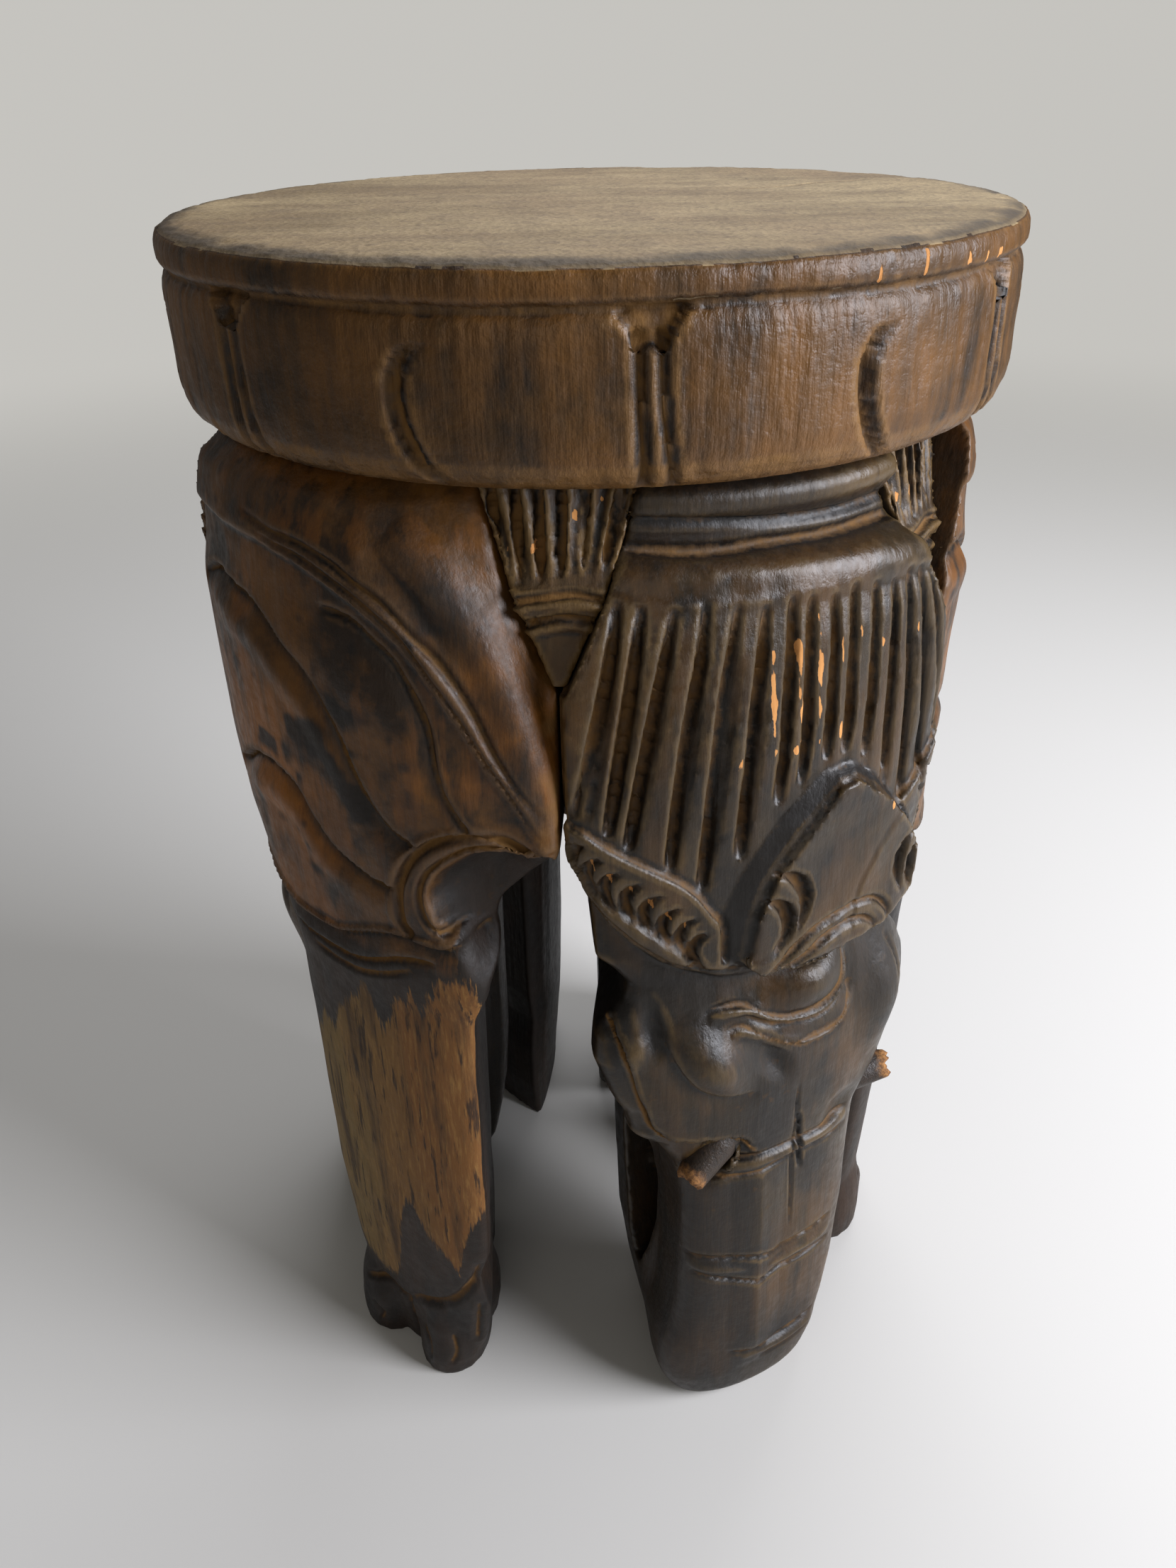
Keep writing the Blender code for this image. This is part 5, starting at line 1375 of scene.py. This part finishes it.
    def wear(self, skin: Skin) -> None:
        """Lay the bare chips, the rubbed places, the dust and the darker stain low on the head, and
        painted shade in the trunk's hole, on the hidden walls, under the hem, on the trunk's left side and
        on the neck under the seat.

        Args:
            skin: the block's skin.
        """
        rough = 0.6 * noise(skin.points * (1, 1, 0.35), 1.8, self.seed)
        rough += 0.3 * noise(skin.points, 4, self.seed)
        for a, z, wide, tall in self.CHIPS:
            d = np.hypot((skin.azimuth - a) / wide, (skin.height - z) / tall)
            skin.paint(Mark.CHIP, soft_step(1.0 - d + rough, -0.1, 0.6))
        for a, z in self.SCALLOP_TIPS[1:7]:
            d = np.hypot((skin.azimuth - a + 1.6) / 0.45, (skin.height - z + 3) / 2.4)
            skin.paint(Mark.CHIP, 0.8 * soft_step(1.0 - d + rough, 0.0, 0.5))
        # Painted shade in the trunk's hole and on the walls that face the axis, hidden between blocks.
        skin.paint(Mark.SOOT, 0.6 * (1 - soft_step(skin.facing, -0.1, 0.4)))
        # Painted shade in a band just under the hem.
        skin.paint(Mark.SOOT, 0.6 * np.exp(-(((skin.height - 224) / 6) ** 2)))
        seam = (1 - soft_step(skin.azimuth, -31.5, -28.5)) * soft_step(skin.height, 276, 288)
        patchy = 0.4 + 0.45 * noise(skin.points, 5, self.seed + 5)
        skin.paint(Mark.DUST, patchy * seam * (1 - soft_step(skin.height, 325, 350)))
        # Painted shade on the trunk's left side, turned away from the window lamp.
        left = (1 - soft_step(skin.azimuth, -4, 0)) * (1 - soft_step(skin.height, 125, 150))
        cloudy = noise(skin.points, 30, self.seed + 7)
        skin.paint(Mark.SOOT, 0.6 * left)
        skin.paint(Mark.SOOT, (0.30 + 0.55 * cloudy) * (1 - soft_step(skin.height, 215, 228)))
        # Painted shadow of the seat over the left part of the neck.
        neck = (1 - soft_step(skin.azimuth, 2, 14)) * soft_step(skin.height, 362, 370)
        skin.paint(Mark.SOOT, 0.6 * neck)
        skin.weather()

    def build(self, finish: bpy.types.Material) -> None:
        """Carve the block and put it in the scene.

        Args:
            finish: its stain.
        """
        skin = solid_skin(self.name, self.voxel, self.turn)
        free = soft_step(skin.radius, 96, 104) * soft_step(skin.height, 2, 8)
        free = free * np.maximum(soft_step(skin.facing, 0.3, 0.8), 1 - soft_step(skin.height, 225, 245))
        skin.calm(12)
        hem = np.interp(-np.abs(skin.azimuth), *np.array(self.BAND_FOOT).T)
        skin.relax(6, free * (1 - 0.8 * np.exp(-(((skin.height - hem + 2) / 9) ** 2))))
        skin.relax(14, free * (1 - soft_step(skin.height, 205, 225)))
        self.fit(skin)
        self.cap(skin)
        self.face(skin)
        chatter = 0.1 * noise(skin.points * (1, 1, 0.4), 5, self.seed)
        chatter += 0.35 * noise(skin.points, 18, self.seed)
        skin.push(chatter * skin.outer() * soft_step(skin.height, 2, 8))
        skin.points[:, 2] = np.clip(skin.points[:, 2], 0, BLOCK_TOP)
        skin.update()
        self.wear(skin)
        obj = skin.make("carved_" + self.name, skin.facing < HIDDEN)
        finish_piece(obj, "cap_stain", [finish], self.name)


@dataclass
class Seat:
    """The round seat: end-grain top, rolled lip, wavy groove and an apron of seven petals."""

    petals: int = 7
    first: float = 5.8
    around: int = 620
    row: float = 0.85
    groove: float = 438.4
    notch_depth: float = 3.2
    check_width: float = 1.6

    CHECK: tuple = ((52, 26), (70, 34), (84, 44), (100, 52))
    CHIPS: tuple = (
        (31.5, 443, 0.25, 4.5), (38.5, 444, 0.35, 4), (46.5, 442.5, 0.8, 2.5), (54.5, 443, 1.3, 2.6),
        (50.5, 442, 0.4, 2),
    )
    CRESCENT: tuple = ((1.8, 430.6), (-0.4, 426), (-1.4, 418), (-0.8, 408), (1.2, 398), (3.6, 392.5))
    PROFILE: tuple = (
        (0.0, 450.0), (30.0, 450.0), (60.0, 450.0), (90.0, 450.0), (112.0, 450.0), (125.0, 450.0),
        (132.0, 450.0), (136.0, 449.8), (139.0, 449.0), (140.8, 447.6), (141.7, 445.5), (141.9, 443.0),
        (141.7, 441.0), (141.0, 439.8), (139.4, 438.6), (139.2, 437.6), (140.2, 436.4), (141.0, 434.5),
        (141.4, 431.0), (141.5, 426.0), (141.5, 420.0), (141.4, 412.0), (141.2, 405.0), (140.6, 400.5),
        (139.4, 397.0), (137.4, 394.2), (134.6, 392.2), (131.0, 391.5), (120.0, 391.5), (100.0, 391.5),
        (60.0, 391.5), (0.0, 391.5),
    )

    def surface(self) -> Skin:
        """Turn the profile: each ring is the profile's radius round the axis. The rings between its
        points lie on the straight lines that join them, closest together down the side. A point on
        the axis closes the top and another the underside.

        Returns:
            The uncarved seat.
        """
        outline = np.array(self.PROFILE)
        steps = np.diff(outline, axis=0)
        run = np.concatenate([[0], np.cumsum(np.hypot(steps[:, 0], steps[:, 1]))])
        side = (run > 128) & (run < 215)
        start, end = run[side][0], run[side][-1]
        top_rows, side_rows = np.arange(3.0, start, 2.5), np.arange(start, end, self.row)
        rows = np.unique(np.concatenate([top_rows, side_rows, np.arange(end, run[-1] - 3, 9.0)]))
        radius = np.interp(rows, run, outline[:, 0])
        height = np.interp(rows, run, outline[:, 1])
        angle = np.linspace(0, 2 * np.pi, self.around, endpoint=False)
        r, a = np.meshgrid(radius, angle, indexing="ij")
        z = np.repeat(height[:, None], self.around, axis=1)
        points = np.stack([r * np.sin(a), -r * np.cos(a), z], -1).reshape(-1, 3)
        index = np.arange(points.shape[0]).reshape(len(rows), self.around)
        right = np.roll(index, -1, axis=1)
        quads = np.stack([index[:-1], index[1:], right[1:], right[:-1]], -1).reshape(-1, 4)
        top, foot = len(points), len(points) + 1
        points = np.vstack([points, [[0, 0, height[0]], [0, 0, height[-1]]]])
        first, last = index[0], index[-1]
        half = self.around // 2
        cap_top = np.stack([np.full(half, top), first[::2], right[0][::2], np.roll(first, -2)[::2]], -1)
        cap_foot = np.stack([np.full(half, foot), np.roll(last, -2)[::2], right[-1][::2], last[::2]], -1)
        return Skin(points, np.vstack([quads, cap_top, cap_foot]), 0.0)

    def lines(self) -> list[Line]:
        """The petals' edges, notches and crescents, all round."""
        made = []
        pitch = 360 / self.petals
        for i in range(self.petals):
            turn = (self.first + i * pitch + 180) % 360 - 180
            lean = 0.5 * math.sin(i * 2.1)
            bar = ((turn - 1.1, 432), (turn - 0.9, 418), (turn - 0.6, 404), (turn - 0.4 + lean, 392))
            edge = ((turn + 1.3, 432), (turn + 1.5, 416), (turn + 2.2, 402), (turn + 3.0, 392))
            for path, depth, width in ((bar, 3.6, 2.0), (edge, 2.6, 1.8)):
                made.append(Line(path, depth, width, dust=0.6, taper=0.0, shade=0.6))
            middle = turn + pitch / 2 + 0.6 * math.cos(i * 1.7)
            crescent = tuple((a + middle, z) for a, z in self.CRESCENT)
            made.append(Line(crescent, 4.0, 2.7 + 0.4 * (i % 2), Edge.ROUND, 0.75, 0.3, shade=0.3))
            beyond = tuple((a + 1.3, z) for a, z in crescent)
            made.append(Line(beyond, 1.2, 1.0, dust=0.0, taper=0.2, shade=0.7))
        return made

    def notches(self) -> list[Path]:
        """The three-cornered notches under the lip, where two petals meet."""
        turns = [(self.first + i * 360 / self.petals + 180) % 360 - 180 for i in range(self.petals)]
        return [((t - 3.4, 438.5), (t + 3.6, 438.5), (t + 1.4, 430), (t - 0.9, 430)) for t in turns]

    def build(self, stain: bpy.types.Material, end_grain: bpy.types.Material) -> None:
        """Carve the seat and put it in the scene.

        Args:
            stain: the finish of its side.
            end_grain: the finish of its top.
        """
        skin = self.surface()
        wave = 0.6 * np.sin(np.radians(skin.azimuth * 2) + 0.6)
        wave += 0.35 * np.sin(np.radians(skin.azimuth * 7))
        lip = np.exp(-(((skin.height - 439) / 5) ** 2)) * soft_step(skin.radius, 133, 138)
        skin.points[:, 2] += wave * lip
        skin.update()
        for notch in self.notches():
            skin.plate(notch, -self.notch_depth)
            skin.paint(Mark.DUST, (0.4 + 0.4 * noise(skin.points, 4, 14)) * skin.inside(notch))
        skin.cut(self.lines())
        side = soft_step(skin.radius, 130, 137)
        chatter = 0.30 * noise(skin.points * (1, 1, 0.05), 2.4, 5) + 0.5 * noise(skin.points, 22, 6)
        chatter += 0.4 * noise(skin.points * (1, 1, 0.5), 9, 8)
        skin.push(-np.abs(chatter) * side * soft_step(skin.height, SEAT_FOOT, 393))
        top = soft_step(skin.normals[:, 2], 0.6, 0.95)
        dents = 0.35 * noise(skin.points, 30, 9) + 0.18 * noise(skin.points * (0.3, 1, 1), 7, 10)
        check = distance_to(np.array(self.CHECK, float), skin.points[:, :2])[0]
        crack = np.clip(1 - check / self.check_width, 0, 1)
        skin.push(-(np.abs(dents) + 0.05 + 1.2 * crack) * top)
        skin.update()
        skin.weather()
        skin.paint(Mark.HOLLOW, np.clip(1.2 - check / self.check_width, 0, 1) * top)
        groove = np.exp(-(((skin.height - self.groove - wave) / 1.2) ** 2)) * side
        skin.paint(Mark.DUST, (0.45 + 0.3 * noise(skin.points, 12, 7)) * groove)
        skin.paint(Mark.HOLLOW, 0.7 * np.exp(-(((skin.height - 439.6 - wave) / 0.8) ** 2)) * side)
        band = soft_step(skin.height, 392, 394) * (1 - soft_step(skin.height, 398.5, 401)) * side
        skin.paint(Mark.CREST, (0.55 + 0.3 * noise(skin.points, 8, 11)) * band)
        skin.paint(Mark.DUST, (0.25 + 0.35 * noise(skin.points, 10, 15)) * band)
        torn = 0.7 * noise(skin.points * (1, 1, 0.6), 1.8, 3) + 0.3 * noise(skin.points, 4, 12)
        for a, z, wide, tall in self.CHIPS:
            d = np.hypot((skin.azimuth - a) / wide, (skin.height - z) / tall)
            skin.paint(Mark.CHIP, soft_step(1 - d + torn, 0.0, 0.6) * side)
        rim = soft_step(skin.radius + 3 * noise(skin.points, 9, 4), 130, 139)
        skin.paint(Mark.SOOT, 0.8 * rim * top)
        obj = skin.make("carved_seat")
        level = np.abs(skin.normals[skin.faces].mean(1)[:, 2]) > 0.8
        topmost = level & (skin.points[skin.faces].mean(1)[:, 2] > 440)
        finish_piece(obj, "seat_stain", [stain, end_grain], "seat")
        obj.data.polygons.foreach_set("material_index", topmost.astype(np.int32))


@dataclass
class FanCore:
    """The core under the seat, with a fluted fan between each two blocks."""

    voxel: float = 1.0
    joints: tuple = (-5.0, 57.0, 118.0, 182.0, 236.0, 284.0)
    depths: tuple = (2.6, 2.4, 2.4, 2.4, 2.4, 1.2)

    FLUTES: tuple = (
        (-9.4, -7.8, 361), (-5.9, -5.0, 361), (-2.6, -2.3, 361.5), (0.6, 0.3, 363.5), (4.3, 3.2, 365.8),
        (8.3, 6.1, 365.8), (11.0, 8.6, 368),
    )
    BANDS: tuple = (
        ((-9, 353.8), (-5.7, 357), (-0.6, 359.2), (2.8, 359.6), (6.5, 357.8)),
        ((-8, 346.5), (-6.4, 348), (-3, 351), (1, 352.8), (4.2, 351.8), (6, 350)),
    )
    ARCHES: tuple = (
        ((-8, 353.5), (-3, 356.3), (1, 357), (6, 356)), ((-7, 346), (-3, 348.4), (1, 350), (5, 349)),
    )
    CHIPS: tuple = (
        (2.3, 380.5, 0.45, 2.6), (6.0, 384.5, 0.5, 1.5), (-3.4, 371, 0.4, 2.8), (-6.9, 371, 0.4, 2.4),
    )

    def chips(self, skin: Skin) -> Points:
        """Find the small splinters off the edges of the flutes.

        Args:
            skin: the core's skin, turned to one fan.
        Returns:
            How bare the wood is at each point, from 0 to 1.
        """
        rough = 0.5 * noise(skin.points, 1.6, 21)
        total = np.zeros(len(rough))
        for a, z, wide, tall in self.CHIPS:
            d = np.hypot((skin.azimuth - a) / wide, (skin.height - z) / tall)
            total = np.maximum(total, soft_step(1 - d + rough, 0, 0.6))
        return total

    def build(self, finish: bpy.types.Material) -> None:
        """Carve the fans and put the core in the scene.

        Args:
            finish: its stain.
        """
        skin = solid_skin("fan_core", self.voxel, 0.0)
        skin.calm(10)
        seen = np.zeros(len(skin.points))
        for joint, deep in zip(self.joints, self.depths):
            skin.turn = joint
            skin.update()
            skin.cut([Line(path, -1.4, 2.6, Edge.ROUND, 0.0, 0.0, shade=0.0) for path in self.ARCHES])
            lines = [Line(path, 2.0, 1.5, dust=0.7, taper=0.0) for path in self.BANDS]
            for top, foot, low in self.FLUTES:
                path = ((top, 391), (0.55 * top + 0.45 * foot, 378), (foot, low))
                lines.append(Line(path, deep, 1.8, Edge.ROUND, 1.0, 0.22, shade=0.2))
            skin.cut(lines)
            skin.paint(Mark.CHIP, self.chips(skin))
            near = (np.abs(skin.azimuth) < 13) & (skin.height > 322)
            seen = np.maximum(seen, near & (skin.facing > 0.1))
        skin.turn = 0.0
        skin.update()
        # Painted shade on the walls that face the axis, and a faint band of painted shade just under the
        # seat.
        inner = 1 - soft_step(skin.facing, -0.1, 0.4)
        skin.paint(Mark.SOOT, 0.3 * soft_step(skin.height, 383, 391) + inner)
        skin.weather()
        skin.points[:, 2] = np.clip(skin.points[:, 2], 0, None)
        obj = skin.make("carved_fan_core", seen < 0.5)
        finish_piece(obj, "fan_stain", [finish], "fan_core")


@dataclass
class TuskStub:
    """A broken tusk stub: the CAD rod as a tube of rings that fills its socket, narrows from where it
    leaves the head, and ends splintered."""

    node: str
    seed: int
    rings: int = 28
    around: int = 40
    root_radius: float = 8.5
    narrowing: float = 3.3
    wobble: float = 0.04
    splinter: float = 5.0
    short: float = 1.2
    sunk: float = 2.6

    def rod(self) -> tuple[Points, Points, float]:
        """Measure the CAD rod: its axis is the direction in which its points spread most.

        Returns:
            Its inner end, its direction outwards and its length, in millimetres.
        """
        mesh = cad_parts[self.node].data
        places = np.zeros(len(mesh.vertices) * 3)
        mesh.vertices.foreach_get("co", places)
        places = np.unique(np.round(places.reshape(-1, 3) / MM, 3), axis=0)
        centre = places.mean(0)
        axis = np.linalg.svd(places - centre)[2][0]
        along = (places - centre) @ axis
        spread = np.linalg.norm(places - centre - along[:, None] * axis, axis=1)
        if spread[along > 0].max() > spread[along < 0].max():
            axis, along = -axis, -along
        return centre + axis * along.min(), axis, np.ptp(along)

    def surface(self) -> Skin:
        """Lay the rings. Ring k, from 0 at the root to 1 at the tip, has the root's radius less the
        narrowing times 1.9k - 0.9, held between 0 and 1, all times 1 + wobble sin(3a). The outer
        rings are pushed along the rod by a jagged noise of the angle a.

        Returns:
            The stub's skin, with all but its tip stained.
        """
        start, axis, length = self.rod()
        across = np.cross(axis, (0, 0, 1.0))
        across /= np.linalg.norm(across)
        up = np.cross(across, axis)
        share = np.linspace(0, 1, self.rings)
        angle = np.linspace(0, 2 * np.pi, self.around, endpoint=False)
        k, a = np.meshgrid(share, angle, indexing="ij")
        radius = self.root_radius - self.narrowing * np.clip(1.9 * k - 0.9, 0, 1)
        radius = radius * (1 + self.wobble * np.sin(3 * a + self.seed)) * np.where(k > 0.97, 0.8, 1.0)
        circle = np.stack([np.cos(a) * 9, np.sin(a) * 9, a * 0 + self.seed], -1).reshape(-1, 3)
        jag = noise(circle, 3.0, self.seed).reshape(a.shape)
        reach = k * (length - self.short) + np.clip(k - 0.7, 0, 1) * self.splinter * jag
        points = start + reach[..., None] * axis + (radius * np.cos(a))[..., None] * across
        points = (points + (radius * np.sin(a))[..., None] * up).reshape(-1, 3)
        index = np.arange(len(points)).reshape(k.shape)
        right = np.roll(index, -1, axis=1)
        quads = np.stack([index[:-1], right[:-1], right[1:], index[1:]], -1).reshape(-1, 4)
        points = np.vstack([points, [start, start + axis * (length - self.sunk)]])
        low, high = len(points) - 2, len(points) - 1
        root, tip, half = index[0], index[-1], self.around // 2
        cap_low = [np.full(half, low), np.roll(root, -2)[::2], right[0][::2], root[::2]]
        cap_high = [np.full(half, high), tip[::2], right[-1][::2], np.roll(tip, -2)[::2]]
        caps = np.vstack([np.stack(cap_low, -1), np.stack(cap_high, -1)])
        skin = Skin(points, np.vstack([quads, caps]), 0.0)
        side = np.concatenate([np.repeat(share, self.around), [0, 1]])
        stained = 1 - soft_step(side + 0.05 * noise(points, 2.0, self.seed), 0.86, 0.94)
        skin.paint(Mark.SOOT, 0.95 * stained)
        return skin

    def build(self, finish: bpy.types.Material) -> None:
        """Put the stub in the scene, in its finish."""
        finish_piece(self.surface().make("broken_" + self.node), "raw_wood", [finish], self.node)


@dataclass(frozen=True)
class Lamp:
    """A rectangular soft light: its place and aim in metres, its size, watts and sRGB colour."""

    name: str
    place: tuple[float, float, float]
    aim: tuple[float, float, float]
    size: tuple[float, float]
    power: float
    tone: str

    def build(self) -> None:
        """Put the lamp in the scene, turned to its aim."""
        data = bpy.data.lights.new(self.name, "AREA")
        data.shape = "RECTANGLE"
        data.size, data.size_y = self.size
        data.energy = self.power
        data.color = linear(self.tone)[:3]
        lamp = bpy.data.objects.new(self.name, data)
        bpy.context.scene.collection.objects.link(lamp)
        lamp.location = self.place
        direction = Vector(self.aim) - Vector(self.place)
        lamp.rotation_euler = direction.to_track_quat("-Z", "Y").to_euler()


@dataclass(frozen=True)
class Studio:
    """A pale floor and room, three soft lamps, and the camera at the photograph's angle. Lengths are
    in metres and angles in degrees."""

    floor_reach: float = 6.0
    fade_start: float = 0.5
    fade_end: float = 2.2
    room_light: float = 0.19
    wall_light: float = 0.80
    lens: float = 29.03
    sensor: float = 36.0
    eye: tuple[float, float, float] = (0.0, -0.4642, 0.4932)
    heading: float = 0.606
    tilt: float = 59.86
    roll: float = -1.246
    lamps: tuple[Lamp, ...] = (
        Lamp("window", (1.30, -0.50, 0.80), (0.0, 0.0, 0.24), (0.95, 0.95), 46.0, "F4F6FF"),
        Lamp("skylight", (0.25, 0.9, 1.5), (0.0, 0.0, 0.35), (1.0, 1.0), 13.0, "F6F8FF"),
        Lamp("front", (-0.25, -1.9, 0.9), (0.0, 0.0, 0.2), (1.2, 1.2), 4.0, "FFF8EE"),
    )

    def paint(self) -> bpy.types.Material:
        """Matt pale floor paint, which fades into the pale room far from the stool."""
        made = empty_material("Matt pale floor paint")
        step = partial(node_step, made.node_tree)
        away = step("VectorMath", {"operation": "LENGTH"}, {0: step("TexCoord", out="Object")}, "Value")
        fade = {1: self.fade_start, 2: self.fade_end, 3: 1.0, 4: 0.0, "interpolation_type": "SMOOTHSTEP"}
        near = step("MapRange", fade, {0: away})
        matt = {"Base Color": linear("CFCDC8"), "Roughness": 0.9}
        step("OutputMaterial", None, {0: step("BsdfPrincipled", matt, {"Alpha": near})})
        return made

    def floor(self) -> None:
        reach = self.floor_reach
        mesh = bpy.data.meshes.new("floor")
        corners = [(-reach, -reach, 0), (reach, -reach, 0), (reach, reach, 0), (-reach, reach, 0)]
        mesh.from_pydata(corners, [], [(0, 1, 2, 3)])
        floor = bpy.data.objects.new("floor", mesh)
        bpy.context.scene.collection.objects.link(floor)
        mesh.materials.append(self.paint())

    def room(self) -> None:
        """Light the room faintly, and show the camera a pale wall."""
        world = bpy.data.worlds.new("soft room")
        bpy.context.scene.world = world
        world.use_nodes = True
        world.node_tree.nodes.clear()
        step = partial(node_step, world.node_tree)
        seen = step("LightPath", out="Is Camera Ray")
        light = step("Background", {"Color": linear("E6E4E0"), "Strength": self.room_light})
        wall = step("Background", {"Color": linear("DAD8D3"), "Strength": self.wall_light})
        step("OutputWorld", None, {0: step("MixShader", None, {0: seen, 1: light, 2: wall})})

    def camera(self) -> None:
        """Stand the camera where the photograph was taken from."""
        data = bpy.data.cameras.new("camera")
        data.sensor_fit = "VERTICAL"
        data.sensor_height = self.sensor
        data.lens = self.lens
        camera = bpy.data.objects.new("camera", data)
        bpy.context.scene.collection.objects.link(camera)
        turn = Matrix.Rotation(math.radians(self.heading), 4, "Z")
        turn = turn @ Matrix.Rotation(math.radians(self.tilt), 4, "X")
        turn = turn @ Matrix.Rotation(math.radians(self.roll), 4, "Z")
        camera.matrix_world = Matrix.Translation(self.eye) @ turn
        bpy.context.scene.camera = camera
        bpy.context.scene.view_settings.view_transform = "Standard"

    def build(self) -> None:
        """Set up the floor, the room, the lamps and the camera."""
        self.floor()
        self.room()
        for lamp in self.lamps:
            lamp.build()
        self.camera()


def main() -> None:
    """Set up the studio and build the stool's pieces in order."""
    logging.basicConfig(level=logging.INFO, format="%(name)s %(message)s")
    Studio().build()
    coarse = 0.0
    cap, haunch = CAP_STAIN.build(), HAUNCH_STAIN.build()
    heads = (("front", 26.0, 1, 1.1), ("rear", 149.0, 2, 1.4), ("left", 258.0, 3, 1.4))
    legs = (("front", -35.0, 4, 1.1, 1.0), ("right", 87.0, 5, 1.3, 0.25), ("rear", 214.0, 6, 1.4, 0.7))
    for name, turn, seed, voxel in heads:
        ElephantBlock(f"elephant_block_{name}", turn, seed, coarse or voxel).build(cap)
    for name, turn, seed, voxel, worn in legs:
        LegBlock(f"leg_block_{name}", turn, seed, coarse or voxel, worn).build(haunch)
    Seat().build(SEAT_STAIN.build(), EndGrain().build())
    FanCore(coarse or FanCore.voxel).build(FAN_STAIN.build())
    raw = SplitWood("Raw split wood").build()
    for seed, node in enumerate(sorted(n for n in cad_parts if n.startswith("tusk_stub")), 1):
        TuskStub(node, seed).build(raw)
    dowel = SplitWood("Turned dowel wood", "B98A55", "8A5F35").build()
    for name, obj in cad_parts.items():
        if "dowel" in name:
            obj.data.materials.clear()
            obj.data.materials.append(dowel)


if __name__ == "__main__":
    main()
